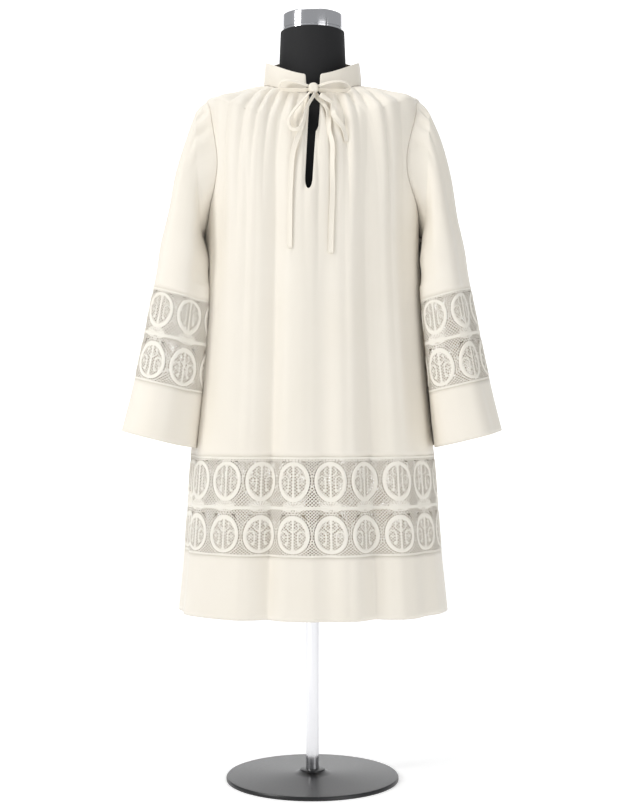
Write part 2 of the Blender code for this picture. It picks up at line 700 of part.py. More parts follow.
def front_skin(x, z):
    """The point of the garment's front at a place across and up, and its outward normal."""
    angle, row = math.atan2(x, 0.12), 2.0
    for _ in range(14):
        low, high = 0.0, float(HEM)
        for _ in range(18):
            row = (low + high) / 2
            if mean_body(angle, row).z > z:
                low = row
            else:
                high = row
        point = body(angle, row)
        angle += (x - point.x) / max(0.05, math.hypot(point.x, point.y))
    return body(angle, row), surface_normal(mean_body, angle, row)


def resample(points, count):
    """Evenly numbered points of a smooth curve through the given ones."""
    last = len(points) - 1
    axes = [[point[axis] for point in points] for axis in range(3)]
    return [Vector([spline(values, last * step / count) for values in axes])
            for step in range(count + 1)]


def strip(name, path, facing, width=TIE_WIDTH):
    """A flat strip of cloth along a path; facing gives the outward direction at each point."""
    last = len(path) - 1
    sides = []
    for index, point in enumerate(path):
        along = (path[min(last, index + 1)] - path[max(0, index - 1)]).normalized()
        across = along.cross(facing[index]).normalized()
        sides.append(across)
    rings = []
    for point, across, out in zip(path, sides, facing):
        half, thick = across * width / 2, out.normalized() * TIE_CLOTH / 2
        rings.append([point + half + thick, point - half + thick,
                      point - half - thick, point + half - thick])
    solid_from_rings(name, rings, IVORY, 0.6)


def make_tail(name, places, count):
    path, facing = [], []
    for place in places:
        point, normal = front_skin(place.x, place.z)
        path.append(point + normal * place.off)
        facing.append(normal)
    strip(name, resample(path, count), resample(facing, count))


def make_loop(name, bends, count):
    """A loop whose strip leans towards the front, so that its flat side shows."""
    path = resample([Vector(bend) for bend in bends], count)
    centre = sum(path, Vector()) / len(path)
    last = len(path) - 1
    facing = []
    for index, point in enumerate(path):
        along = path[min(last, index + 1)] - path[max(0, index - 1)]
        level = along.cross(Vector((0, 1, 0)))
        if level.dot(point - centre) < 0:
            level.negate()
        out = level.normalized() * math.cos(LOOP_TILT)
        facing.append(out + Vector((0, -math.sin(LOOP_TILT), 0)))
    strip(name, path, facing, LOOP_WIDTH)


def make_ties():
    make_tail("tie_tail_right", TAIL_RIGHT, LONG_TAIL_STEPS)
    make_tail("tie_tail_left", TAIL_LEFT, LONG_TAIL_STEPS)
    make_tail("tie_tail_short", TAIL_SHORT, SHORT_TAIL_STEPS)
    make_loop("tie_loop_right", LOOP_RIGHT, LOOP_STEPS)
    make_loop("tie_loop_left", LOOP_LEFT, LOOP_STEPS)
    make_loop("tie_loop_low", LOOP_LOW, LOOP_STEPS)
    bpy.ops.mesh.primitive_uv_sphere_add(segments=KNOT_SEGMENTS, ring_count=KNOT_RINGS)
    knot = bpy.context.object
    knot.name = "tie_knot"
    for vert in knot.data.vertices:
        vert.co = Vector([a * b for a, b in zip(vert.co, KNOT_HALF)]) + KNOT_CENTRE
    knot.data.materials.append(make_material("tie_knot", IVORY, 0.6))
    for owner in list(knot.users_collection):
        owner.objects.unlink(knot)
    COLLECTION.objects.link(knot)


clear_scene()
COLLECTION = new_collection()
make_panels()
make_hem_lace()
make_hem()
make_collar()
make_sleeve("left", left_sleeve, 1)
make_sleeve("right", right_sleeve, -1)
make_torso()
make_stand()
make_ties()
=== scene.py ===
"""The looks of the surplice on its dress form: cloth, lace, ties, form, light and camera."""
import math
from collections import namedtuple

import bpy
import numpy as np
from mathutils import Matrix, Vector


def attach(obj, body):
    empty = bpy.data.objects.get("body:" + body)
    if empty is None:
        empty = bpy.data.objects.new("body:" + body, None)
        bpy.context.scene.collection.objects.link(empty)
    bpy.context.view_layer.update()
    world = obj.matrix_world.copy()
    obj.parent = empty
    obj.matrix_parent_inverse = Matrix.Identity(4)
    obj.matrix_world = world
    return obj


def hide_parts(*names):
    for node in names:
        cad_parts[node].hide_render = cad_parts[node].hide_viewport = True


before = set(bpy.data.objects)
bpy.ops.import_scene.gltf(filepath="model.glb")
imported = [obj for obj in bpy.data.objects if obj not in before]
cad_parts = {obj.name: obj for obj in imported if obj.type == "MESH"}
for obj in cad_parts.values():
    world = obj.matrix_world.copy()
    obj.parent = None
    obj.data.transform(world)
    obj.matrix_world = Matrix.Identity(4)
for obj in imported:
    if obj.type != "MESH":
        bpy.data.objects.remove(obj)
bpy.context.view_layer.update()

# Sizes shared with the solids, metres
SHELL = 0.0009
ROUNDNESS = 2.3
SLEEVE_ROUNDNESS = 2.5
SLEEVE_CLEARANCE = 0.005
TURNED_SHELL = SHELL * 1.6
SIDE = math.pi / 2

Section = namedtuple("Section", "name half_width front back side_z front_z back_z")
BODY = [
    Section("neck seam", 0.0935, 0.0865, 0.0765, 1.325, 1.296, 1.34),
    Section("mid shoulder", 0.15, 0.112, 0.107, 1.311, 1.262, 1.301),
    Section("shoulder", 0.2016, 0.132, 0.126, 1.2975, 1.225, 1.255),
    Section("armhole", 0.206, 0.149, 0.141, 1.175, 1.135, 1.15),
    Section("underarm", 0.205, 0.153, 0.147, 1.035, 1.035, 1.035),
    Section("waist", 0.211, 0.158, 0.152, 0.9, 0.9, 0.9),
    Section("hip", 0.22, 0.165, 0.16, 0.76, 0.76, 0.76),
    Section("lace top", 0.2335, 0.172, 0.168, 0.622, 0.622, 0.622),
    Section("lace bottom", 0.246, 0.183, 0.179, 0.442, 0.442, 0.442),
    Section("hem", 0.2566, 0.19, 0.187, 0.327, 0.327, 0.327),
]
SHOULDER, UNDERARM, LACE_TOP, LACE_BOTTOM, HEM = 2, 4, 7, 8, 9

Fold = namedtuple("Fold", "name neck_angle hem_angle top_depth hem_depth half_width softness")
FOLDS = [
    Fold("front right crease", -29, -25.5, 0.006, 0.027, 15, 1.2),
    Fold("front centre dip", 6, 9, 0.002, 0.006, 10, 2.0),
    Fold("front left crease", 46, 35, 0.005, 0.021, 13, 1.4),
    Fold("front left hollow", 58, 62, 0.001, 0.009, 9, 2.0),
    Fold("right side hollow", -74, -78, 0.002, 0.007, 9, 2.0),
    Fold("back left hollow", 118, 116, 0.003, 0.011, 10, 2.0),
    Fold("back left crease", 140, 145, 0.005, 0.023, 14, 1.3),
    Fold("back centre dip", 176, 172, 0.003, 0.009, 10, 2.0),
    Fold("back right crease", 205, 202, 0.005, 0.025, 14, 1.3),
    Fold("back right hollow", 232, 234, 0.001, 0.013, 11, 1.8),
]
FOLD_START = 0.4

# Creases too fine for the solids, in the same terms
FINE_FOLDS = [
    Fold("right chest", -50, -43, 0.003, 0.0002, 6, 1.1),
    Fold("right breast", -37, -37, 0.0016, 0.001, 4, 1.1),
    Fold("right slit side", -15, -12, 0.001, 0.0018, 7, 1.4),
    Fold("left slit side", 15, 20, 0.0006, 0.002, 7, 1.5),
    Fold("left breast", 27, 22, 0.0026, 0.0002, 5, 1.1),
    Fold("left chest", 36, 44, 0.0012, 0.0016, 6, 1.2),
    Fold("left shoulder", 54, 51, 0.0028, 0.0002, 5, 1.1),
    Fold("right shoulder", -60, -62, 0.002, 0.0006, 5, 1.1),
    Fold("back left blade", 150, 158, 0.0026, 0.0004, 6, 1.1),
    Fold("back left edge", 130, 131, 0.0012, 0.0016, 5, 1.2),
    Fold("back right blade", 192, 188, 0.0026, 0.0006, 6, 1.1),
    Fold("back right edge", 219, 217, 0.0012, 0.0016, 5, 1.2),
    Fold("back centre line", 167, 180, 0.001, 0.0018, 7, 1.4),
]

GATHERS = 32
Gather = namedtuple("Gather", "row height")
GATHER_FADE = [
    Gather(0.0, 0.0003), Gather(0.2, 0.0022), Gather(0.6, 0.0034), Gather(1.2, 0.0037),
    Gather(2.0, 0.0032), Gather(2.8, 0.0022), Gather(3.5, 0.0011), Gather(4.4, 0.0),
]

# How far the gathers fan out from the neck, degrees, and the row where they have done so
GATHER_SPREAD, GATHER_SKEW = 10.0, 5.0
SPREAD_ROW = 2

ARMHOLE_FRONT = math.radians(26)
ARMHOLE_BACK = math.radians(22)

SLIT_FOOT_Z = 1.11
SLIT_TOP_X, SLIT_FOOT_X = 0.0036, -0.0077
SLIT_TOP_HALF, SLIT_FOOT_HALF = 0.0105, 0.0075
SLIT_TAPER = 0.11

Ring = namedtuple("Ring", "name outer_x outer_z inner_x inner_z front back")
SLEEVE = [
    Ring("cap", 0.22, 1.274, 0.209, 1.032, -0.091, 0.078),
    Ring("upper cap", 0.241, 1.225, 0.206, 1.022, -0.097, 0.077),
    Ring("upper arm", 0.259, 1.16, 0.202, 1.003, -0.103, 0.073),
    Ring("arm", 0.275, 1.078, 0.1965, 0.972, -0.109, 0.067),
    Ring("elbow", 0.288, 1.003, 0.1945, 0.942, -0.113, 0.061),
    Ring("sleeve lace top", 0.299, 0.937, 0.193, 0.909, -0.117, 0.057),
    Ring("sleeve lace bottom", 0.3336, 0.767, 0.208, 0.738, -0.127, 0.06),
    Ring("cuff end", 0.3574, 0.669, 0.219, 0.6355, -0.132, 0.064),
]
SLEEVE_LACE_TOP, SLEEVE_LACE_BOTTOM, CUFF_END = 6, 7, 8

COLLAR_TOP = Section("collar top", 0.09, 0.0855, 0.074, 1.3695, 1.3315, 1.404)
COLLAR_GAP_TOP, COLLAR_GAP_BOTTOM = 0.014, 0.0115
COLLAR_GAP_X = 0.0008
COLLAR_CLOTH = 0.0024

CAP_RADIUS, CAP_BOTTOM, CAP_TOP = 0.0585, 1.43, 1.463
POLE_RADIUS = 0.0125
BASE_RADIUS, BASE_EDGE, BASE_HUB, BASE_HUB_RADIUS = 0.165, 0.008, 0.02, 0.024
CHEST_CLEARANCE = 0.016
SHOULDER_ROUND = 0.005
NECK = [
    Section("neck top", 0.0612, 0.0612, 0.0612, 1.4297, 1.4297, 1.4297),
    Section("neck", 0.0636, 0.0636, 0.0636, 1.375, 1.37, 1.38),
    Section("neck root", 0.066, 0.065, 0.065, 1.337, 1.315, 1.348),
]
TRUNK = [
    Section("arm plate top", 0.191, 0.12, 0.112, 1.274, 1.195, 1.215),
    Section("arm plate", 0.185, 0.129, 0.119, 1.19, 1.14, 1.15),
    Section("bust", 0.172, 0.128, 0.117, 1.09, 1.08, 1.08),
    Section("form waist", 0.146, 0.106, 0.098, 0.95, 0.95, 0.95),
    Section("form hip", 0.16, 0.114, 0.11, 0.85, 0.85, 0.85),
    Section("form foot", 0.156, 0.111, 0.107, 0.805, 0.805, 0.805),
]
SEATED_ROWS = [0.15, 0.5, 0.9, 1.3, 1.65, 1.9]
SOLID_CLOTH, SEAT = 0.0015, 0.0004

# What seams leave open, radians
PANEL_SEAM, SIDE_SEAM, SLEEVE_SEAM = 0.0008, 0.001, 0.002

# Flat sizes of the cut that shows, width and length; a band's width is measured where it hangs
PANEL_FLAT = (0.8, 0.76)
SLEEVE_FLAT = (0.56, 0.4)
CUFF_FLAT = (0.56, 0.105)
COLLAR_FLAT = (0.52, 0.05)
BODY_LACE_LENGTH, SLEEVE_LACE_LENGTH, HEM_LENGTH = 0.182, 0.178, 0.118

# Camera: the photograph's level view
CAMERA_DISTANCE = 2.8
CAMERA_HEIGHT = 0.718
FRAME_HEIGHT = 1.551
SENSOR = 36.0


# Smooth tables

def smoothstep(value):
    value = np.clip(value, 0.0, 1.0)
    return value * value * (3 - 2 * value)


def even_slope(first, second):
    return (first + second) / 2


def gentle_slope(first, second):
    """The slope between two steps that never swings past the values themselves."""
    both = np.where(first + second == 0, 1.0, first + second)
    return np.where(first * second > 0, 2 * first * second / both, 0.0)


def spline(values, position, slope=even_slope):
    """A smooth curve through evenly spaced values, read at fractional indices."""
    values = np.asarray(values, float)
    position = np.asarray(position, float)
    last = len(values) - 1
    index = np.clip(position.astype(int), 0, last - 1)
    t = position - index
    start, end = values[index], values[index + 1]
    before, after = values[np.maximum(index - 1, 0)], values[np.minimum(index + 2, last)]
    leave = np.where(index == 0, end - start, slope(start - before, end - start))
    arrive = np.where(index == last - 1, end - start, slope(end - start, after - end))
    return (start * (2 * t**3 - 3 * t**2 + 1) + leave * (t**3 - 2 * t**2 + t)
            + end * (3 * t**2 - 2 * t**3) + arrive * (t**3 - t**2))


def resample(points, count):
    """A smooth curve through points, in even steps from one point to the next."""
    steps = np.linspace(0, len(points) - 1, count + 1)
    return np.stack([spline(points, step) for step in steps])


def table_at(table, kind, row, slope=even_slope):
    return kind("between", *(spline([getattr(line, field) for line in table], row, slope)
                             for field in kind._fields[1:]))


def ring_point(section, angle, roundness=ROUNDNESS):
    across, along = np.abs(np.sin(angle)), np.cos(angle)
    depth = np.where(along > 0, section.front, section.back)
    radius = ((across / section.half_width) ** roundness
              + (np.abs(along) / depth) ** roundness) ** (-1 / roundness)
    end_z = np.where(along > 0, section.front_z, section.back_z)
    z = section.side_z + (end_z - section.side_z) * along**2
    return np.stack([radius * np.sin(angle), -radius * along, z], -1)


def full_turn(count):
    return np.linspace(0, math.tau, count + 1)[:-1]


def lengths_along(points):
    return np.concatenate([[0], np.cumsum(np.linalg.norm(np.diff(points, axis=0), axis=1))])


def unit(vectors):
    return vectors / np.maximum(np.linalg.norm(vectors, axis=-1, keepdims=True), 1e-12)


def surface_normal(surface, u, v, step=1e-3):
    du = surface(u + step, v) - surface(u - step, v)
    dv = surface(u, v + step) - surface(u, v - step)
    return unit(np.cross(dv, du))


# The garment's body

def mean_body(angle, row):
    return ring_point(table_at(BODY, Section, row, gentle_slope), angle)


def gather_height(row):
    rows = [line.row for line in GATHER_FADE]
    heights = [line.height for line in GATHER_FADE]
    return np.interp(row, rows, heights)


def fold_depth(fold, degrees, row):
    settle = smoothstep(row / UNDERARM)
    middle = fold.neck_angle + (fold.hem_angle - fold.neck_angle) * settle
    apart = np.abs((degrees - middle + 180) % 360 - 180) / fold.half_width
    apart = np.minimum(apart, 1.0)
    grown = smoothstep((row - FOLD_START) / (HEM - FOLD_START))
    depth = fold.top_depth * smoothstep(row) + (fold.hem_depth - fold.top_depth) * grown
    return depth * (1 - apart**fold.softness) ** 2


def gather_drift(angle, row):
    """The angle between a gather's place at a row and its place at the neck seam."""
    drift = GATHER_SPREAD * np.sin(2 * angle) - GATHER_SKEW * np.sin(4 * angle)
    return np.radians(drift) * smoothstep(row / SPREAD_ROW)


def relief(angle, row):
    """Gathers less troughs; gathers are round ridges with narrow valleys, uneven in length."""
    degrees = np.degrees(angle)
    start = angle + gather_drift(angle, row)
    uneven = 0.9 * np.sin(3 * start + 1) + 0.5 * np.sin(7 * start)
    phase = (GATHERS * start + uneven) / 2
    length = 0.86 + 0.24 * np.sin(5 * start + 0.7) + 0.16 * np.sin(11 * start + 2.1)
    strength = 0.95 + 0.3 * np.sin(4 * start + 2.0) * np.sin(9 * start)
    gathers = gather_height(row / length) * strength * (2 * np.abs(np.cos(phase)) ** 0.9 - 1)
    drift = 0.0016 * np.sin(9 * angle + 0.7 * row) * smoothstep((row - 1.5) / 2)
    drift = drift + 0.0005 * np.sin(17 * angle - 0.6 * row + 1) * smoothstep((row - 2) / 2)
    troughs = sum(fold_depth(fold, degrees, row) for fold in FOLDS + FINE_FOLDS)
    return gathers + drift - troughs


def body(angle, row):
    angle, row = np.broadcast_arrays(np.asarray(angle, float), np.asarray(row, float))
    normal = surface_normal(mean_body, angle, np.maximum(row, 0.02))
    normal[..., 2] *= np.clip(UNDERARM - row, 0.0, 1.0)
    return mean_body(angle, row) + unit(normal) * relief(angle, row)[..., None]


def panel_edge(row, turn):
    share = (row - SHOULDER) / (UNDERARM - SHOULDER)
    inside = (share > 0) & (share < 1)
    dip = np.where(inside, np.sin(np.pi * np.clip(share, 0, 1)), 0.0)
    return SIDE - turn * np.maximum(dip, 0.0) ** 0.75 - PANEL_SEAM


def armhole_point(around, side):
    share = (1 - np.cos(around)) / 2
    dip = np.maximum(np.sin(np.pi * share), 0.0) ** 0.75
    turn = np.where(np.sin(around) >= 0, -ARMHOLE_FRONT, ARMHOLE_BACK)
    return body(side * (SIDE + turn * dip), SHOULDER + (UNDERARM - SHOULDER) * share)


def clear_of_body(point, clearance):
    angle = np.arctan2(point[..., 0], -point[..., 1])
    under = point[..., 2] < BODY[UNDERARM].side_z
    low = np.where(under, float(UNDERARM), float(SHOULDER))
    high = np.where(under, float(HEM), float(UNDERARM))
    for _ in range(16):
        middle = (low + high) / 2
        above = mean_body(angle, middle)[..., 2] > point[..., 2]
        low, high = np.where(above, middle, low), np.where(above, high, middle)
    skin = body(angle, (low + high) / 2)
    wanted = np.hypot(skin[..., 0], skin[..., 1]) + clearance
    radius = np.hypot(point[..., 0], point[..., 1])
    grow = np.maximum(wanted / radius, 1.0)
    moved = point.copy()
    moved[..., 0] *= grow
    moved[..., 1] *= grow
    return moved


def sleeve_section(around, row, side):
    ring = table_at(SLEEVE, Ring, np.maximum(row - 1, 0.0))
    along, across = np.cos(around), np.sin(around)
    along = np.copysign(np.abs(along) ** (2 / SLEEVE_ROUNDNESS), along)
    across = np.copysign(np.abs(across) ** (2 / SLEEVE_ROUNDNESS), across)
    reach_x, reach_z = (ring.outer_x - ring.inner_x) / 2, (ring.outer_z - ring.inner_z) / 2
    x = (ring.outer_x + ring.inner_x) / 2 + reach_x * along
    y = (ring.front + ring.back) / 2 + (ring.front - ring.back) / 2 * across
    z = (ring.outer_z + ring.inner_z) / 2 + reach_z * along
    point = np.stack([side * x, y, z], -1)
    moved = clear_of_body(point, SLEEVE_CLEARANCE)[..., :2] - point[..., :2]
    rise = moved[..., 0] * side * reach_z / reach_x
    return point + np.concatenate([moved, rise[..., None]], -1)


def plain_sleeve(around, row, side):
    around, row = np.broadcast_arrays(np.asarray(around, float), np.asarray(row, float))
    start = armhole_point(around, side)
    share = np.clip(row, 0.0, 1.0)[..., None]
    first = sleeve_section(around, np.ones_like(row), side)
    later = sleeve_section(around, np.maximum(row, 1.0), side)
    return np.where(row[..., None] >= 1, later, start + (first - start) * share)


# Soft folds of a sleeve: gathers at the cap, drags at the elbow and long hanging waves
def sleeve_relief(around, row, side):
    phase = 2.1 * side
    cap = 0.0022 * np.exp(-((row - 0.7) / 0.9) ** 2) * np.clip(np.cos(around) + 0.5, 0, 1)
    gathers = cap * (2 * np.abs(np.cos(9 * around + phase)) - 1)
    waves = 0.0042 * smoothstep((row - 1) / 4) * np.sin(3 * around + phase + 0.15 * row)
    waves = waves + 0.0026 * smoothstep((row - 0.6) / 2) * np.sin(6 * around - phase + 0.3 * row)
    bend = 0.002 * np.exp(-((row - 4.2) / 1.0) ** 2) * np.sin(2.6 * row + 2 * around)
    return (gathers + waves + bend) * smoothstep(row / 0.5)


def sleeve(turn, row, side):
    around, row = np.broadcast_arrays(-side * np.asarray(turn, float), np.asarray(row, float))

    def plain(angle, level):
        return plain_sleeve(angle, level, side)

    normal = surface_normal(plain, around, np.maximum(row, 0.02)) * -side
    return plain(around, row) + normal * sleeve_relief(around, row, side)[..., None]


class Skin:
    """A surface sampled once on a fine grid, then read by blending, so that it is quick."""

    def __init__(self, surface, start, end, columns, top, bottom, rows):
        self.start, self.end, self.top, self.bottom = start, end, top, bottom
        u, v = np.meshgrid(np.linspace(start, end, columns), np.linspace(top, bottom, rows))
        self.points = surface(u, v)
        down, across = np.gradient(self.points, axis=(0, 1))
        self.normals = unit(np.cross(down, across))

    def read(self, grid, u, v):
        rows, columns = grid.shape[:2]
        x = np.clip((u - self.start) / (self.end - self.start), 0, 1) * (columns - 1)
        y = np.clip((v - self.top) / (self.bottom - self.top), 0, 1) * (rows - 1)
        i, j = np.minimum(x.astype(int), columns - 2), np.minimum(y.astype(int), rows - 2)
        s, t = (x - i)[..., None], (y - j)[..., None]
        upper = grid[j, i] * (1 - s) + grid[j, i + 1] * s
        lower = grid[j + 1, i] * (1 - s) + grid[j + 1, i + 1] * s
        return upper * (1 - t) + lower * t

    def point(self, u, v):
        u, v = np.broadcast_arrays(np.asarray(u, float), np.asarray(v, float))
        return self.read(self.points, u, v)

    def normal(self, u, v):
        u, v = np.broadcast_arrays(np.asarray(u, float), np.asarray(v, float))
        return unit(self.read(self.normals, u, v))


FRONT_SKIN = Skin(body, -SIDE, SIDE, 721, 0.0, float(HEM), 361)
BACK_SKIN = Skin(lambda angle, row: body(angle + np.pi, row), -SIDE, SIDE, 721, 0.0, float(HEM), 361)
HALVES = (("front", FRONT_SKIN), ("back", BACK_SKIN))
SLEEVE_SKINS = {
    side: Skin(lambda turn, row, side=side: sleeve(turn, row, side), 0.0, math.tau, 257, 0.0,
               float(CUFF_END), 161)
    for side in (1, -1)}


# Meshes

def add_object(name, verts, faces, uvs=None):
    mesh = bpy.data.meshes.new(name)
    mesh.from_pydata(np.asarray(verts, float).tolist(), [], faces)
    if uvs is not None:
        loops = np.zeros(len(mesh.loops), dtype=np.int32)
        mesh.loops.foreach_get("vertex_index", loops)
        layer = mesh.uv_layers.new(name="cloth")
        layer.data.foreach_set("uv", np.asarray(uvs, np.float32)[loops].ravel())
    mesh.shade_smooth()
    made = bpy.data.objects.new(name, mesh)
    bpy.context.scene.collection.objects.link(made)
    return made


def cloth_coordinates(points):
    """Metres along and across the cloth, for the weave."""
    across = np.zeros(points.shape[:2])
    down = np.zeros(points.shape[:2])
    across[:, 1:] = np.cumsum(np.linalg.norm(np.diff(points, axis=1), axis=-1), 1)
    down[1:] = np.cumsum(np.linalg.norm(np.diff(points, axis=0), axis=-1), 0)
    across -= across[:, across.shape[1] // 2][:, None]
    return np.stack([across, down], -1)


def face_and_painted_shade(piece, front, painted_shade, start, end):
    """Gives a cloth its face material, and on the faces from start to end a darker copy as painted
    shade.
    """
    side = np.zeros(len(piece.data.polygons), np.int32)
    side[start:end] = 1
    piece.data.materials.append(front)
    piece.data.materials.append(painted_shade)
    piece.data.polygons.foreach_set("material_index", side)


def stand_for(piece, node):
    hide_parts(node)
    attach(piece, "root")


def shell(name, skin, columns, rows, thickness, closed=False, keep=None, roll=None):
    """A closed thin shell: columns(row) gives the places across, keep says which cells stay."""
    rows = np.asarray(rows, float)
    u = np.stack([columns(row) for row in rows])
    v = np.repeat(rows[:, None], u.shape[1], 1)
    outer, normal = skin.point(u, v), skin.normal(u, v)
    if roll is not None:
        outer = outer + normal * roll(outer, u)[..., None]
    if closed:
        seam = np.concatenate([outer, outer[:, :1]], 1)
        uv = cloth_coordinates(seam)[:, :-1]
    else:
        uv = cloth_coordinates(outer)
    inner = outer - normal * thickness
    height, width = outer.shape[:2]
    verts = np.concatenate([outer.reshape(-1, 3), inner.reshape(-1, 3)])
    uvs = np.concatenate([uv.reshape(-1, 2)] * 2)
    count = height * width
    span = width if closed else width - 1
    r, c = np.meshgrid(np.arange(height - 1), np.arange(span), indexing="ij")
    stay = np.ones(r.shape, bool) if keep is None else keep(r, c)
    r, c = r[stay], c[stay]
    n = (c + 1) % width
    quads = np.stack([r * width + c, (r + 1) * width + c, (r + 1) * width + n, r * width + n], 1)
    faces = quads.tolist() + (quads[:, ::-1] + count).tolist()
    edges = np.concatenate([quads[:, [k, (k + 1) % 4]] for k in range(4)])
    key = edges[:, 0] * count + edges[:, 1]
    back = edges[:, 1] * count + edges[:, 0]
    rim = edges[~np.isin(key, back)]
    faces += np.stack([rim[:, 1], rim[:, 0], rim[:, 0] + count, rim[:, 1] + count], 1).tolist()
    used = np.zeros(len(verts), bool)
    for face in (quads, quads + count):
        used[face.ravel()] = True
    renumber = np.cumsum(used) - 1
    faces = [[int(renumber[vert]) for vert in face] for face in faces]
    piece = add_object(name, verts[used], faces, uvs[used])
    # The inner faces take the darker cloth: painted shade inside the garment.
    face_and_painted_shade(piece, CLOTH, CLOTH_PAINTED_SHADE, len(quads), 2 * len(quads))
    return piece


def finish_cloth(piece, node, flat):
    """Puts a cloth piece in place of its node; works out its area, half that of its two faces and no
    more than the flat cut, but does not use it.
    """
    stand_for(piece, node)
    width, length = flat
    area = min(sum(face.area for face in piece.data.polygons) / 2, width * length)


# Materials

def node_material(name):
    material = bpy.data.materials.new(name)
    material.use_nodes = True
    nodes, links = material.node_tree.nodes, material.node_tree.links
    return material, nodes, links, nodes["Principled BSDF"]


def set_inputs(node, **values):
    """Sets sockets by their names, written here in small letters with underscores."""
    for socket in node.inputs:
        key = socket.name.lower().replace(" ", "_")
        if key in values:
            socket.default_value = values[key]


def add_node(nodes, kind, **values):
    node = nodes.new("ShaderNode" + kind)
    set_inputs(node, **values)
    return node


# The period of a wave texture at scale 1
WAVE_PERIOD = math.tau / 20


def weave_material(name, colour, dark, thread, roughness, sheen):
    """Plain woven cloth: fine crossing threads, slubs and a slow unevenness of tone."""
    material, nodes, links, shader = node_material(name)
    where = add_node(nodes, "UVMap")
    where.uv_map = "cloth"
    place = add_node(nodes, "TexCoord")
    cross = add_node(nodes, "Math")
    cross.operation = "MULTIPLY"
    for socket, direction in zip(cross.inputs, "XY"):
        wave = add_node(nodes, "TexWave", scale=WAVE_PERIOD / (2 * thread), distortion=0.6, detail=1.0)
        wave.bands_direction = direction
        links.new(where.outputs["UV"], wave.inputs["Vector"])
        links.new(wave.outputs["Fac"], socket)
    slub = add_node(nodes, "TexNoise", scale=900.0, detail=3.0)
    links.new(place.outputs["Object"], slub.inputs["Vector"])
    sum_up = add_node(nodes, "Math")
    sum_up.operation = "MULTIPLY_ADD"
    sum_up.inputs[1].default_value = 0.6
    links.new(slub.outputs["Fac"], sum_up.inputs[0])
    links.new(cross.outputs[0], sum_up.inputs[2])
    bump = add_node(nodes, "Bump", strength=0.22, distance=0.0003)
    links.new(sum_up.outputs[0], bump.inputs["Height"])
    links.new(bump.outputs["Normal"], shader.inputs["Normal"])
    tone = add_node(nodes, "TexNoise", scale=7.0, detail=4.0)
    links.new(place.outputs["Object"], tone.inputs["Vector"])
    ramp = add_node(nodes, "ValToRGB")
    for element, position, shade in zip(ramp.color_ramp.elements, (0.3, 0.75), (dark, colour)):
        element.position = position
        element.color = (*shade, 1)
    links.new(tone.outputs["Fac"], ramp.inputs["Fac"])
    links.new(ramp.outputs["Color"], shader.inputs["Base Color"])
    set_inputs(shader, roughness=roughness, specular_ior_level=0.35, sheen_weight=sheen,
               sheen_roughness=0.4)
    return material


def plain_material(name, colour, roughness, metallic, grain, depth):
    """Painted, polished or jersey-covered stand parts, with a fine grain."""
    material, nodes, links, shader = node_material(name)
    place = add_node(nodes, "TexCoord")
    noise = add_node(nodes, "TexNoise", scale=grain, detail=3.0)
    links.new(place.outputs["Object"], noise.inputs["Vector"])
    bump = add_node(nodes, "Bump", strength=depth, distance=0.0003)
    links.new(noise.outputs["Fac"], bump.inputs["Height"])
    links.new(bump.outputs["Normal"], shader.inputs["Normal"])
    spread = add_node(nodes, "MapRange")
    spread.inputs["To Min"].default_value = roughness * 0.85
    spread.inputs["To Max"].default_value = min(1.0, roughness * 1.15)
    links.new(noise.outputs["Fac"], spread.inputs["Value"])
    links.new(spread.outputs["Result"], shader.inputs["Roughness"])
    set_inputs(shader, base_color=(*colour, 1), metallic=metallic)
    return material


CLOTH = weave_material("ivory cloth", (0.83, 0.782, 0.7), (0.81, 0.76, 0.67), 0.0005, 0.5, 0.2)
# A darker copy of the cloth: painted shade for the garment's inside.
CLOTH_PAINTED_SHADE = weave_material("cloth painted shade", (0.52, 0.45, 0.35), (0.45, 0.38, 0.29), 0.0005, 0.7, 0.1)
LACE = weave_material("ivory lace", (0.86, 0.825, 0.75), (0.83, 0.785, 0.7), 0.0009, 0.7, 0.2)
# A darker copy of the lace: painted shade for the threads' undersides and rims.
LACE_PAINTED_SHADE = weave_material("lace painted shade", (0.34, 0.26, 0.165), (0.3, 0.225, 0.14), 0.0009, 0.8, 0.0)
TIES = weave_material("ivory tie", (0.85, 0.795, 0.7), (0.83, 0.775, 0.675), 0.0005, 0.5, 0.2)
JERSEY = plain_material("black jersey", (0.006, 0.006, 0.007), 0.8, 0.0, 1800.0, 0.5)
CHROME = plain_material("chrome", (0.72, 0.72, 0.74), 0.12, 1.0, 60.0, 0.05)
PAINT = plain_material("black paint", (0.012, 0.012, 0.013), 0.35, 0.0, 400.0, 0.2)


def length_across(skin, row, start, end, samples=1200):
    u = np.linspace(start, end, samples)
    points = skin.point(u, np.full(samples, float(row)))
    return u, lengths_along(points)


# Panels

def slit_place(share, depth):
    """The slit's middle and half width, as angles, at a share of its length."""
    share = np.clip(share, 0, 1)
    centre = (SLIT_TOP_X + (SLIT_FOOT_X - SLIT_TOP_X) * share) / depth
    return centre, (SLIT_TOP_HALF + (SLIT_FOOT_HALF - SLIT_TOP_HALF) * share) / depth


def slit_centre_half(row):
    top = BODY[0].front_z
    middle = mean_body(np.zeros(1), np.array([row]))[0]
    share = (top - middle[2]) / (top - SLIT_FOOT_Z)
    centre, half = slit_place(share, -middle[1])
    close = min(1.0, max(0.0, (1 - share) / SLIT_TAPER))
    return share, centre, half * math.sqrt(max(0.0, 1 - (1 - close) ** 2))


PANEL_COLUMNS = 216
PANEL_ROWS = np.concatenate([np.linspace(0, SHOULDER, 46)[:-1],
                             np.linspace(SHOULDER, UNDERARM, 60)[:-1],
                             np.linspace(UNDERARM, LACE_TOP, 50)])


def slit_foot_row():
    low, high = 0.0, float(UNDERARM)
    for _ in range(30):
        middle = (low + high) / 2
        if slit_centre_half(middle)[0] < 1:
            low = middle
        else:
            high = middle
    return high


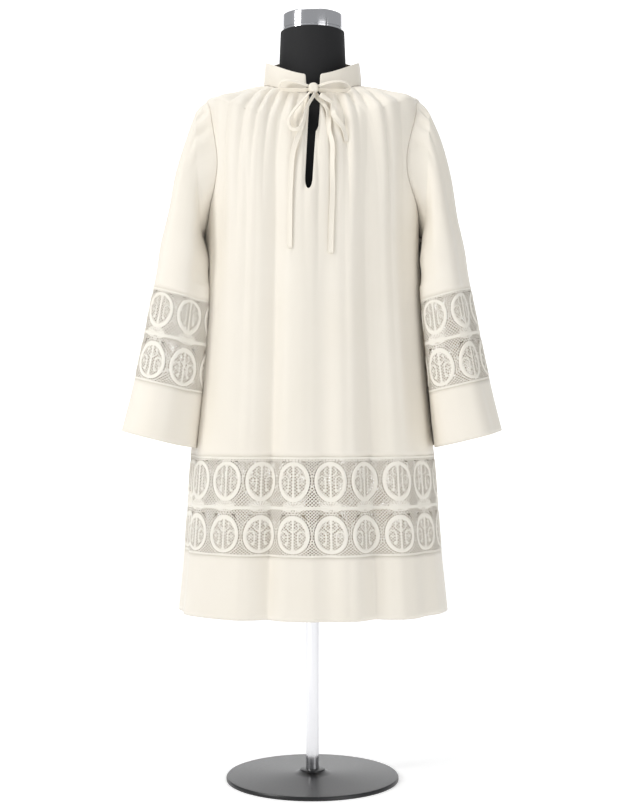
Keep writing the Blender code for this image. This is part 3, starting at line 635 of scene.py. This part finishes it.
FOOT_ROW = slit_foot_row()
FRONT_ROWS = np.unique(np.concatenate([
    PANEL_ROWS[np.abs(PANEL_ROWS - FOOT_ROW) > 0.02],
    FOOT_ROW + np.array([-0.09, -0.06, -0.04, -0.02, -0.01, -0.003, 0.0, 0.02, 0.05])]))


def front_columns(row):
    edge = float(panel_edge(np.array(row), ARMHOLE_FRONT))
    half_count = PANEL_COLUMNS // 2
    share, centre, half = slit_centre_half(row)
    if share >= 1:
        centre *= max(0.0, 2 - share)
        half = 0.0
    half = max(half, 0.0002)
    left = np.linspace(-edge, centre - half, half_count + 1)
    right = np.linspace(centre + half, edge, half_count + 1)
    return np.concatenate([left, right])


def slit_roll(point, angle):
    """How far the cloth swells out, then rolls back, beside the slit."""
    depth = np.hypot(point[..., 0], point[..., 1])
    share = (BODY[0].front_z - point[..., 2]) / (BODY[0].front_z - SLIT_FOOT_Z)
    centre, half = slit_place(share, depth)
    off = (np.abs(angle - centre) - half) * depth
    near = np.exp(-np.maximum(off, 0) / 0.0022) * smoothstep((1.04 - share) / 0.08)
    swell = np.exp(-((off - 0.006) / 0.0035) ** 2) * smoothstep((1.06 - share) / 0.12)
    return swell * 0.001 - near * 0.0022


def keep_slit(r, c):
    above = FRONT_ROWS[r + 1] <= FOOT_ROW + 1e-6
    return ~((c == PANEL_COLUMNS // 2) & above)


def make_panels():
    front = shell("front_cloth", FRONT_SKIN, front_columns, FRONT_ROWS, SHELL, keep=keep_slit,
                  roll=slit_roll)
    back = shell("back_cloth", BACK_SKIN,
                 lambda row: np.linspace(-1, 1, PANEL_COLUMNS + 1)
                 * float(panel_edge(np.array(row), ARMHOLE_BACK)), PANEL_ROWS, SHELL)
    for piece, node in ((front, "front_panel"), (back, "back_panel")):
        finish_cloth(piece, node, PANEL_FLAT)


def make_hems():
    for half, skin in HALVES:
        u, lengths = length_across(skin, (LACE_BOTTOM + HEM) / 2, -SIDE + SIDE_SEAM, SIDE - SIDE_SEAM)
        places = np.interp(np.linspace(0, lengths[-1], 261), lengths, u)
        rows = np.linspace(LACE_BOTTOM, HEM, 17)
        piece = shell("hem_cloth_" + half, skin, lambda row, places=places: places, rows, TURNED_SHELL)
        finish_cloth(piece, "hem_" + half, (lengths[-1], HEM_LENGTH))


def make_collar():
    def surface(angle, drop):
        middle = table_at([COLLAR_TOP, BODY[0]], Section, drop, gentle_slope)
        point = ring_point(middle, angle)
        point[..., 2] += 0.0005 * drop
        belly = np.sin(np.pi * np.clip(drop, 0, 1))
        away = unit(point * np.array([1, 1, 0]))
        ripple = 0.0006 * np.sin(6 * angle + 1) + 0.0004 * np.sin(13 * angle)
        return point + away * ((0.0012 + ripple) * belly)[..., None]

    def places(drop):
        half = COLLAR_GAP_TOP + (COLLAR_GAP_BOTTOM - COLLAR_GAP_TOP) * drop
        round_off = 0.003 * max(0.0, 1 - drop / 0.08) ** 2
        start = math.atan2(COLLAR_GAP_X + half + round_off, BODY[0].front)
        end = math.tau - math.atan2(half + round_off - COLLAR_GAP_X, BODY[0].front)
        return np.linspace(start, end, 181)

    rows = np.concatenate([[0, 0.01, 0.03, 0.06, 0.1], np.linspace(0.16, 0.9, 12), [0.96, 1.0]])
    skin = Skin(surface, 0.0, math.tau, 721, 0.0, 1.0, 41)
    piece = shell("collar_cloth", skin, places, rows, COLLAR_CLOTH)
    finish_cloth(piece, "collar", COLLAR_FLAT)


# Lace

# A tile is one medallion wide and one row high; half sizes of its ring and of the ring's opening
PITCH, TILE_HEIGHT = 0.06, 0.09
RING_X, RING_Y = 0.0265, 0.0355
OPEN_X, OPEN_Y = 0.0199, 0.0272
TOP_MIDDLE, LOW_MIDDLE = 0.0455, 0.0425
RING_STEPS = 44

# Beads round a ring, raised work above the net, net threads, their thickness and the rim of painted
# shade beside them
BEAD = 0.0027
CREST = 0.0011
STRAND = 0.00135
THREAD = 0.0006
RIM = 0.0004
SUNK = 0.0002

# Meshes of each net across a tile
MEDALLION_NET, LOWER_NET, UPPER_NET = 11, 10, 11


class Drawing:
    """Threads drawn flat: x across a tile, y up it and how high each thread stands.
    Their undersides, a dark layer of painted shade, are kept in under; a flat thread's is wider by a
    painted-shade rim on each side."""

    def __init__(self):
        self.verts, self.under, self.faces = [], [], []

    def thread(self, points, width, height=0.0, closed=False):
        """A thread through points: flat when low, else with a raised middle."""
        points = np.asarray(points, float)
        if closed:
            along = np.roll(points, -1, 0) - np.roll(points, 1, 0)
        else:
            along = np.gradient(points, axis=0)
        across = np.stack([-along[:, 1], along[:, 0]], 1)
        across /= np.maximum(np.linalg.norm(across, axis=1), 1e-9)[:, None]
        widths = np.broadcast_to(np.asarray(width, float), (len(points),))[:, None]
        profile = [(-1, 0.0), (1, 0.0)]
        if height:
            profile = [(-1, 0.15), (-0.6, 0.85), (0.6, 0.85), (1, 0.15)]
        base, rim = len(self.verts), 0.0 if height else RIM
        for point, side, half in zip(points, across, widths / 2):
            self.verts += [(*(point + side * half * place), height * up) for place, up in profile]
            # The underside is painted shade; beside a flat thread it reaches out by the rim.
            self.under += [tuple(point + side * (half + rim) * place) for place, up in profile]
        count, last = len(profile), len(points) - (0 if closed else 1)
        for step in range(last):
            here, there = base + step * count, base + (step + 1) % len(points) * count
            for k in range(count - 1):
                self.faces.append([here + k, there + k, there + k + 1, here + k + 1])

    def band(self, centre, outer, inner, steps, heights):
        """A raised oval band between two ovals."""
        turns = full_turn(steps)
        base, count = len(self.verts), len(heights)
        for turn in turns:
            for share, height in heights:
                rx = outer[0] + (inner[0] - outer[0]) * share
                ry = outer[1] + (inner[1] - outer[1]) * share
                self.verts.append((centre[0] + rx * math.cos(turn),
                                   centre[1] + ry * math.sin(turn), height))
                self.under.append(self.verts[-1][:2])
        for step in range(steps):
            here, there = base + step * count, base + (step + 1) % steps * count
            for k in range(count - 1):
                self.faces.append([here + k, here + k + 1, there + k + 1, there + k])

    def button(self, x, y, radius, height, steps=8):
        base = len(self.verts)
        self.verts.append((x, y, height))
        self.under.append((x, y))
        for share, up in ((0.6, 0.85), (1.0, 0.1)):
            for k in range(steps):
                across, rise = math.cos(math.tau * k / steps), math.sin(math.tau * k / steps)
                self.verts.append((x + radius * share * across, y + radius * share * rise, height * up))
                self.under.append(self.verts[-1][:2])
        for k in range(steps):
            n = (k + 1) % steps
            self.faces.append([base, base + 1 + k, base + 1 + n])
            self.faces.append([base + 1 + k, base + 1 + steps + k, base + 1 + steps + n, base + 1 + n])

    def net(self, meshes, strand, inside):
        """Crossing threads of a diamond net, where inside(x, y) holds."""
        half = PITCH / meshes / 2
        for i in range(2 * meshes):
            for j in range(round(TILE_HEIGHT / half) + 1):
                x, y = -PITCH / 2 + i * half, j * half
                if (i + j) % 2:
                    continue
                for lean in (1, -1):
                    middle = (x + half / 2, y + lean * half / 2)
                    if inside(*middle):
                        self.thread([(x, y), (x + half, y + lean * half)], strand)


def oval(x, y, rx, ry):
    return math.hypot(x / rx, y / ry)


# The motif in each medallion: an upright stem with mirrored volutes, leaves, buttons and stars
STEM_WIDTH, VOLUTE_WIDTH, LEAF_WIDTH = 0.0037, 0.0027, 0.0024
VOLUTE = [(0.0203, 0.003), (0.018, 0.0068), (0.0132, 0.0082), (0.009, 0.0052),
          (0.0078, -0.002), (0.008, -0.0095), (0.0088, -0.015)]
LEAF = [(0.001, 0.0085), (0.006, 0.0105), (0.0095, 0.015), (0.0085, 0.0205)]
Button = namedtuple("Button", "x y radius height")
BUTTONS = [Button(0.0098, -0.0158, 0.0031, 1.0), Button(0.008, 0.0212, 0.0019, 0.8)]
STAR, STAR_REACH, STAR_THREAD, STAR_HEART = (0.0142, -0.003), 0.0044, 0.0011, 0.0012

# Oblong gaps left at the shoulders of the rings
Gap = namedtuple("Gap", "x y half_x half_y")
GAPS = [Gap(0.015, 0.0795, 0.0048, 0.0021), Gap(0.0205, 0.0745, 0.0026, 0.002)]

# The shell between the rows: its ribs' reach and its edge
FAN_RIBS, FAN_FOOT, FAN_X, FAN_Y = 9, 0.0035, 0.0165, 0.0098
FAN_EDGE_X, FAN_EDGE_Y = 0.0172, 0.0104

# Corded lines along a row of tiles, and the ladder of short stitches below the top one
Border = namedtuple("Border", "y width height")
LADDER_FOOT, LADDER_HEAD, LADDER_RUNGS = TILE_HEIGHT - 0.0076, TILE_HEIGHT - 0.004, 22
TOP_BORDERS = [
    Border(0.0008, 0.0042, CREST), Border(TILE_HEIGHT - 0.0022, 0.0044, 0.0006),
    Border(TILE_HEIGHT - 0.0004, 0.0014, CREST), Border(LADDER_FOOT, 0.0012, 0.0004),
]
LOW_BORDERS = [
    Border(0.0022, 0.0048, 0.0006), Border(0.0004, 0.0014, CREST),
    Border(TILE_HEIGHT - 0.001, 0.0034, CREST),
]


def draw_medallion(drawing, middle):
    centre = (0.0, middle)
    drawing.band(centre, (RING_X, RING_Y), (OPEN_X, OPEN_Y), RING_STEPS,
                 [(0.0, 0.0001), (0.18, CREST), (0.5, CREST * 0.75), (0.82, CREST), (1.0, 0.0001)])
    turns = full_turn(RING_STEPS)
    rim_x, rim_y = RING_X + BEAD, RING_Y + BEAD
    rim = np.stack([rim_x * np.cos(turns), middle + rim_y * np.sin(turns)], 1)
    drawing.thread(rim, STRAND * 0.9, closed=True)
    for turn in turns + turns[1] / 2:
        inner = (RING_X * math.cos(turn), middle + RING_Y * math.sin(turn))
        outer = (rim_x * math.cos(turn), middle + rim_y * math.sin(turn))
        drawing.thread([inner, outer], STRAND)
    drawing.net(MEDALLION_NET, STRAND, lambda x, y: oval(x, y - middle, OPEN_X, OPEN_Y) < 1.03)
    stem_y = np.linspace(-OPEN_Y * 1.02, OPEN_Y * 1.02, 13)
    flare = 1 + 0.5 * np.abs(stem_y / OPEN_Y) ** 6
    drawing.thread(np.stack([0 * stem_y, middle + stem_y], 1), STEM_WIDTH * flare, CREST)
    for flip in (1, -1):
        for points, width, count in ((VOLUTE, VOLUTE_WIDTH, 18), (LEAF, LEAF_WIDTH, 8)):
            line = resample(points, count) * np.array([flip, 1.0])
            drawing.thread(line + np.array([0.0, middle]), width, CREST * 0.9)
        for button in BUTTONS:
            drawing.button(flip * button.x, middle + button.y, button.radius, CREST * button.height)
        star = np.array([flip * STAR[0], middle + STAR[1]])
        for turn in (0.0, math.pi / 3, 2 * math.pi / 3):
            arm = np.array([math.cos(turn), math.sin(turn)]) * STAR_REACH
            drawing.thread([star - arm, star + arm], STAR_THREAD)
        drawing.button(star[0], star[1], STAR_HEART, CREST * 0.5, 6)


def draw_fan(drawing, foot, way):
    """The shell between two medallion rows: ribs spread from a foot on their border."""
    for turn in np.radians(np.linspace(12, 168, FAN_RIBS)):
        tip = (FAN_X * math.cos(turn), foot + way * FAN_Y * math.sin(turn))
        start = (FAN_FOOT * math.cos(turn), foot)
        drawing.thread([start, tip], [0.0016, 0.0034], CREST * 0.8)
    edge = [(FAN_EDGE_X * math.cos(turn), foot + way * FAN_EDGE_Y * math.sin(turn))
            for turn in np.radians(np.linspace(4, 176, 15))]
    drawing.thread(edge, 0.0016, CREST * 0.7)


def draw_tile(top_row):
    drawing = Drawing()
    middle = TOP_MIDDLE if top_row else LOW_MIDDLE
    draw_medallion(drawing, middle)

    def outside(x, y):
        wrapped = x - PITCH * round(x / PITCH)
        return oval(wrapped, y - middle, RING_X + BEAD, RING_Y + BEAD) > 0.99

    def in_fan(x, y):
        if top_row:
            return oval(x, y - 0.001, FAN_X, 0.01) < 1
        return oval(x, y - TILE_HEIGHT, FAN_X, 0.0052) < 1

    def lower(x, y):
        return 0.003 < y < middle + 0.002 and outside(x, y) and not in_fan(x, y)

    def upper(x, y):
        clear = all(oval(abs(x) - gap.x, y - gap.y + TOP_MIDDLE - middle, gap.half_x, gap.half_y) > 1
                    for gap in GAPS)
        return middle + 0.002 < y < TILE_HEIGHT - 0.003 and outside(x, y) and clear and not in_fan(x, y)

    drawing.net(LOWER_NET, STRAND * 1.1, lower)
    drawing.net(UPPER_NET, STRAND, upper)
    if top_row:
        draw_fan(drawing, 0.0012, 1)
    else:
        draw_fan(drawing, TILE_HEIGHT - 0.0008, -0.5)
    across = np.linspace(-PITCH / 2, PITCH / 2, 9)
    for line in TOP_BORDERS if top_row else LOW_BORDERS:
        drawing.thread(np.stack([across, np.full(9, line.y)], 1), line.width, line.height)
    for k in range(LADDER_RUNGS if top_row else 0):
        x = -PITCH / 2 + PITCH * (k + 0.5) / LADDER_RUNGS
        drawing.thread([(x, LADDER_FOOT), (x, LADDER_HEAD)], 0.0011)
    verts = np.array(drawing.verts)
    return verts[:, :2], verts[:, 2], np.array(drawing.under), drawing.faces


TILES = {top_row: draw_tile(top_row) for top_row in (True, False)}


def lace_band(name, skin, start, end, top, bottom, count, height):
    """Medallion tiles along a band of a skin; y of a tile runs up the band."""
    u, lengths = length_across(skin, (top + bottom) / 2, start, end)
    pitch = lengths[-1] / count
    all_verts, all_faces, painted_shade_faces, all_uvs = [], [], [], []
    base = 0
    for level, top_row in ((0, True), (1, False)):
        points, raised, under, faces = TILES[top_row]
        for tile in range(count):
            # Each tile is laid twice: the threads, and close behind them their undersides in the darker
            # lace, painted shade round the threads and in the holes.
            for drawn, lift in ((points, raised - SUNK), (under, 0 * raised - SUNK - THREAD)):
                arc = (tile + 0.5) * pitch + drawn[:, 0] / PITCH * pitch
                place = np.interp(arc, lengths, u)
                share = (level + 1 - drawn[:, 1] / TILE_HEIGHT) / 2
                row = top + (bottom - top) * np.clip(share, 0, 1)
                all_verts.append(skin.point(place, row) + skin.normal(place, row) * lift[:, None])
                all_uvs.append(np.stack([arc, share * height], -1))
            all_faces += [[vert + base for vert in face] for face in faces]
            painted_shade_faces += [[vert + base + len(points) for vert in reversed(face)] for face in faces]
            base += 2 * len(points)
    verts = np.concatenate(all_verts)
    piece = add_object(name, verts, all_faces + painted_shade_faces, np.concatenate(all_uvs))
    # The undersides take the darker lace: painted shade.
    face_and_painted_shade(piece, LACE, LACE_PAINTED_SHADE, len(all_faces), len(all_faces) + len(painted_shade_faces))
    return piece, lengths[-1]


BODY_TILES, SLEEVE_TILES = 10, 4


def make_body_lace():
    for half, skin in HALVES:
        piece, width = lace_band("lace_body_" + half, skin, -SIDE + SIDE_SEAM, SIDE - SIDE_SEAM,
                                 LACE_TOP, LACE_BOTTOM, BODY_TILES, 0.18)
        finish_cloth(piece, "hem_lace_" + half, (width, BODY_LACE_LENGTH))


def make_sleeves():
    for label, side in (("left", 1), ("right", -1)):
        skin = SLEEVE_SKINS[side]
        turns = full_turn(128)
        rows = np.concatenate([np.linspace(0, 1, 19)[:-1], np.linspace(1, SLEEVE_LACE_TOP, 56)])
        piece = shell("sleeve_cloth_" + label, skin, lambda row: turns, rows, SHELL, closed=True)
        finish_cloth(piece, "sleeve_" + label, SLEEVE_FLAT)
        for part, begin in (("front", 0.0), ("back", math.pi)):
            start = begin if side < 0 else math.pi - begin
            lace, width = lace_band("lace_sleeve_%s_%s" % (label, part), skin, start + SLEEVE_SEAM,
                                    start + math.pi - SLEEVE_SEAM, SLEEVE_LACE_TOP,
                                    SLEEVE_LACE_BOTTOM, SLEEVE_TILES, 0.173)
            finish_cloth(lace, "sleeve_lace_%s_%s" % (label, part),
                         (width * 1.05, SLEEVE_LACE_LENGTH))
        cuff = shell("cuff_cloth_" + label, skin, lambda row: turns,
                     np.linspace(SLEEVE_LACE_BOTTOM, CUFF_END, 15), TURNED_SHELL, closed=True)
        finish_cloth(cuff, "cuff_" + label, CUFF_FLAT)


# Dress form

def ring_quads(height, width):
    quads = []
    for r in range(height - 1):
        for c in range(width):
            n = (c + 1) % width
            quads.append([r * width + c, (r + 1) * width + c, (r + 1) * width + n, r * width + n])
    return quads


def rings_object(name, rings, material, node):
    """A closed turned or lofted solid through rings, top first."""
    rings = np.asarray(rings, float)
    height, width = rings.shape[:2]
    faces = [list(range(width))] + ring_quads(height, width)
    faces.append([(height - 1) * width + c for c in reversed(range(width))])
    piece = add_object(name, rings.reshape(-1, 3), faces)
    piece.data.set_sharp_from_angle(angle=math.radians(35))
    piece.data.materials.append(material)
    stand_for(piece, node)
    return piece


def turned(name, profile, material, node, steps=72):
    turns = full_turn(steps)
    rings = [np.stack([radius * np.sin(turns), -radius * np.cos(turns), np.full(steps, z)], -1)
             for radius, z in profile]
    rings_object(name, rings, material, node)


def make_form():
    turns = full_turn(96)
    rings = [ring_point(section, turns, 2.0) for section in NECK]
    for row in SEATED_ROWS:
        rows = np.full(turns.shape, row)
        normal = surface_normal(mean_body, turns, rows)
        room = gather_height(row) + SOLID_CLOTH + SEAT
        room = room + CHEST_CLEARANCE * (1 - np.abs(np.sin(turns)) ** 1.5)
        room = room + SHOULDER_ROUND * smoothstep((row - 1) / 0.9)
        room = room + sum(fold_depth(fold, np.degrees(turns), rows) for fold in FOLDS)
        rings.append(mean_body(turns, rows) - normal * room[:, None])
    rings += [ring_point(section, turns) for section in TRUNK]
    smooth = resample(rings, 4 * (len(rings) - 1))
    rings_object("form_trunk", smooth, JERSEY, "form_torso")
    bevel = 0.003
    arc = np.linspace(0, math.pi / 2, 7)
    profile = [(CAP_RADIUS - bevel + bevel * math.sin(a), CAP_TOP - bevel + bevel * math.cos(a))
               for a in arc]
    profile += [(CAP_RADIUS, CAP_BOTTOM + 0.006), (CAP_RADIUS - 0.0008, CAP_BOTTOM + 0.0054),
                (CAP_RADIUS - 0.0008, CAP_BOTTOM + 0.0044), (CAP_RADIUS, CAP_BOTTOM + 0.0038),
                (CAP_RADIUS, CAP_BOTTOM + 0.001), (CAP_RADIUS - 0.001, CAP_BOTTOM)]
    turned("form_cap", profile, CHROME, "form_neck_cap")
    foot = TRUNK[-1].side_z
    turned("form_post", [(POLE_RADIUS, foot - 0.0003), (POLE_RADIUS, 0.62), (POLE_RADIUS, 0.3),
                         (POLE_RADIUS, BASE_HUB + 0.0003)], CHROME, "form_pole", 40)
    turned("form_foot", [(BASE_HUB_RADIUS * 0.8, BASE_HUB), (BASE_HUB_RADIUS * 0.97, BASE_HUB * 0.93),
                         (BASE_HUB_RADIUS, BASE_HUB * 0.8), (BASE_HUB_RADIUS * 1.2, BASE_EDGE * 1.6),
                         (BASE_HUB_RADIUS * 1.6, BASE_EDGE * 1.3), (BASE_RADIUS * 0.96, BASE_EDGE),
                         (BASE_RADIUS * 0.99, BASE_EDGE * 0.9), (BASE_RADIUS, BASE_EDGE * 0.6),
                         (BASE_RADIUS, 0.0)], PAINT, "form_base", 96)


# Ties

TIE_WIDTH, TIE_THICKNESS = 0.01, 0.0016
Place = namedtuple("Place", "x z off")
TAIL_RIGHT = [
    Place(-0.0065, 1.2905, 0.0075), Place(-0.011, 1.262, 0.0062), Place(-0.022, 1.219, 0.0062),
    Place(-0.0343, 1.1737, 0.0055), Place(-0.039, 1.109, 0.0038), Place(-0.04, 1.055, 0.003),
    Place(-0.0405, 1.001, 0.0022),
]
TAIL_LEFT = [
    Place(0.008, 1.2918, 0.0075), Place(0.024, 1.256, 0.0062), Place(0.0345, 1.219, 0.0062),
    Place(0.0385, 1.19, 0.0058), Place(0.0375, 1.15, 0.005), Place(0.0362, 1.1075, 0.0042),
    Place(0.0345, 1.045, 0.0034), Place(0.0334, 0.992, 0.0028),
]
TAIL_SHORT = [
    Place(0.015, 1.2842, 0.0125), Place(0.027, 1.268, 0.014), Place(0.042, 1.244, 0.012),
    Place(0.053, 1.221, 0.006), Place(0.0613, 1.1965, 0.0031),
]
LOOP_RIGHT = [
    (-0.0073, -0.103, 1.306), (-0.025, -0.104, 1.312), (-0.044, -0.099, 1.3175),
    (-0.057, -0.093, 1.3165), (-0.0625, -0.089, 1.3095), (-0.056, -0.091, 1.3025),
    (-0.04, -0.097, 1.3), (-0.024, -0.101, 1.299), (-0.0073, -0.103, 1.2995),
]
LOOP_LEFT = [
    (0.0109, -0.103, 1.306), (0.028, -0.104, 1.312), (0.048, -0.099, 1.316),
    (0.063, -0.092, 1.3145), (0.069, -0.087, 1.308), (0.062, -0.09, 1.301),
    (0.045, -0.097, 1.299), (0.027, -0.101, 1.2985), (0.0109, -0.103, 1.2995),
]
LOOP_LOW = [
    (-0.0045, -0.108, 1.294), (-0.019, -0.124, 1.275), (-0.035, -0.133, 1.254),
    (-0.044, -0.142, 1.235), (-0.0395, -0.1475, 1.22), (-0.027, -0.149, 1.218),
    (-0.0165, -0.146, 1.232), (-0.01, -0.136, 1.26), (0.005, -0.1088, 1.2922),
]
LOOP_TILT = math.radians(42)
LOOP_WIDTH = 0.008
KNOT_CENTRE = np.array([0.0018, -0.103, 1.302])
KNOT_HALF = np.array([0.0092, 0.0095, 0.01])


def front_place(x, z):
    """The front's point and outward direction at a place seen from the front."""
    grid = FRONT_SKIN.points
    away = (grid[..., 0] - x) ** 2 + (grid[..., 2] - z) ** 2
    j, i = np.unravel_index(np.argmin(away), away.shape)
    normal = FRONT_SKIN.normals[j, i]
    return np.array([x, grid[j, i, 1], z]), unit(normal * np.array([1, 1, 0.4]))


def strip(name, node, path, facing, width):
    """A flat stitched strip: rounded long edges and a raised line beside each."""
    along = unit(np.gradient(path, axis=0))
    across = unit(np.cross(along, facing))
    out = unit(facing)
    half, thick = width / 2, TIE_THICKNESS / 2
    profile = [(-1.0, 0.0), (-0.94, 0.75), (-0.78, 1.0), (-0.7, 0.78), (-0.2, 0.9), (0.2, 0.9),
               (0.7, 0.78), (0.78, 1.0), (0.94, 0.75), (1.0, 0.0),
               (0.94, -0.75), (0.4, -0.9), (-0.4, -0.9), (-0.94, -0.75)]
    rings = np.stack([path + across * half * a + out * thick * b for a, b in profile], 1)
    count, around = rings.shape[:2]
    faces = [[a, d, c, b] for a, b, c, d in ring_quads(count, around)]
    faces.append(list(reversed(range(around))))
    faces.append([(count - 1) * around + c for c in range(around)])
    lengths = lengths_along(path)
    uv = [[a * half, length] for length in lengths for a, b in profile]
    piece = add_object(name, rings.reshape(-1, 3), faces, uv)
    piece.data.materials.append(TIES)
    stand_for(piece, node)
    tuple(path[0])


def squared(wave):
    """A wave with fuller shoulders, so that a ball turns into a cushion."""
    return np.sign(wave) * np.abs(wave) ** 0.72


def make_ties():
    for label, places, count in (("right", TAIL_RIGHT, 60), ("left", TAIL_LEFT, 60),
                                 ("short", TAIL_SHORT, 26)):
        found = [front_place(place.x, place.z) for place in places]
        path = [point + normal * place.off for (point, normal), place in zip(found, places)]
        facing = [normal for _, normal in found]
        strip("tie_" + label + "_end", "tie_tail_" + label, resample(path, count),
              resample(facing, count), TIE_WIDTH)
    for label, bends in (("right", LOOP_RIGHT), ("left", LOOP_LEFT), ("low", LOOP_LOW)):
        path = resample(bends, 48)
        centre = path.mean(0)
        along = np.gradient(path, axis=0)
        level = unit(np.cross(along, np.array([0.0, 1.0, 0.0])))
        flip = np.sum(level * (path - centre), 1) < 0
        level[flip] *= -1
        facing = level * math.cos(LOOP_TILT) + np.array([0.0, -math.sin(LOOP_TILT), 0.0])
        strip("tie_bow_" + label, "tie_loop_" + label, path, facing, LOOP_WIDTH)
    turns = full_turn(40)
    rings = []
    for step in np.linspace(0.06, math.pi - 0.06, 24):
        ridge = 1 + 0.06 * np.sin(2 * turns + 3 * step) + 0.035 * np.cos(5 * turns - 2 * step)
        x = squared(np.sin(step)) * squared(np.sin(turns)) * ridge
        y = -squared(np.sin(step)) * squared(np.cos(turns)) * ridge
        z = squared(np.cos(step)) * (1 + 0.02 * np.cos(3 * turns))
        rings.append(KNOT_CENTRE + KNOT_HALF * 0.97 * np.stack([x, y, z], -1))
    knot = rings_object("tie_knot_wrap", rings, TIES, "tie_knot")
    knot.data.uv_layers.new(name="cloth")


# Stage

Lamp = namedtuple("Lamp", "name place size power colour")
LAMPS = [
    Lamp("key", (-3.0, -1.9, 2.2), 1.2, 78.0, (1.0, 0.99, 0.97)),
    Lamp("fill", (2.4, -2.8, 1.2), 2.4, 27.0, (1.0, 1.0, 1.0)),
    Lamp("top", (-0.3, -0.4, 3.2), 1.6, 22.0, (1.0, 1.0, 1.0)),
]
LAMP_AIM = 0.85
PALE, SKY, SKY_GLOW = (0.9, 0.9, 0.9), (0.96, 0.98, 1.0), 0.42
FLOOR_SIZE, FLOOR_GLOW = 18, 0.42
WALL_SIZE, WALL_PLACE, WALL_GLOW = 15.5, (0, 9, 7.6), 0.75

# Dark cards beside the camera, which draw the edges of the polished metal
Card = namedtuple("Card", "x y turn")
CARDS = [Card(-1.15, -0.9, -50), Card(1.15, -0.9, 50), Card(-0.62, -2.3, -14)]
CARD_HEIGHT, CARD_SCALE = 1.1, (0.16, 1.5, 1)


def glowing_material(name, colour, glow):
    material, nodes, links, shader = node_material(name)
    set_inputs(shader, base_color=(*colour, 1), roughness=0.95, specular_ior_level=0.1,
               emission_color=(1, 1, 1, 1), emission_strength=glow)
    return material


def studio_plane(name, size, place, rotation, material):
    bpy.ops.mesh.primitive_plane_add(size=size, location=place, rotation=rotation)
    plane = bpy.context.object
    plane.name = name
    plane.data.materials.append(material)
    return plane


def make_stage():
    upright = math.pi / 2
    studio_plane("studio_floor", FLOOR_SIZE, (0, 0, 0), (0, 0, 0),
                 glowing_material("pale floor", PALE, FLOOR_GLOW))
    studio_plane("studio_wall", WALL_SIZE, WALL_PLACE, (upright, 0, 0),
                 glowing_material("pale wall", PALE, WALL_GLOW))
    dark = plain_material("dark card", (0.02, 0.02, 0.02), 0.9, 0.0, 10.0, 0.0)
    for card in CARDS:
        plane = studio_plane("studio_card", 1, (card.x, card.y, CARD_HEIGHT),
                             (upright, 0, math.radians(card.turn)), dark)
        plane.scale = CARD_SCALE
    world = bpy.data.worlds.new("studio")
    bpy.context.scene.world = world
    world.use_nodes = True
    back = world.node_tree.nodes["Background"]
    set_inputs(back, color=(*SKY, 1), strength=SKY_GLOW)
    for lamp in LAMPS:
        data = bpy.data.lights.new(lamp.name, "AREA")
        data.size = lamp.size
        data.energy = lamp.power
        data.color = lamp.colour
        made = bpy.data.objects.new(lamp.name, data)
        bpy.context.scene.collection.objects.link(made)
        made.location = lamp.place
        aim = Vector((0, 0, LAMP_AIM)) - Vector(lamp.place)
        made.rotation_euler = aim.to_track_quat("-Z", "Y").to_euler()


def make_camera():
    data = bpy.data.cameras.new("camera")
    data.sensor_width = SENSOR
    data.lens = SENSOR * CAMERA_DISTANCE / FRAME_HEIGHT
    camera = bpy.data.objects.new("camera", data)
    bpy.context.scene.collection.objects.link(camera)
    camera.location = (0, -CAMERA_DISTANCE, CAMERA_HEIGHT)
    camera.rotation_euler = (math.pi / 2, 0, 0)
    bpy.context.scene.camera = camera
    bpy.context.scene.view_settings.view_transform = "Standard"


make_camera()
make_form()
make_panels()
make_body_lace()
make_hems()
make_collar()
make_sleeves()
make_ties()
make_stage()
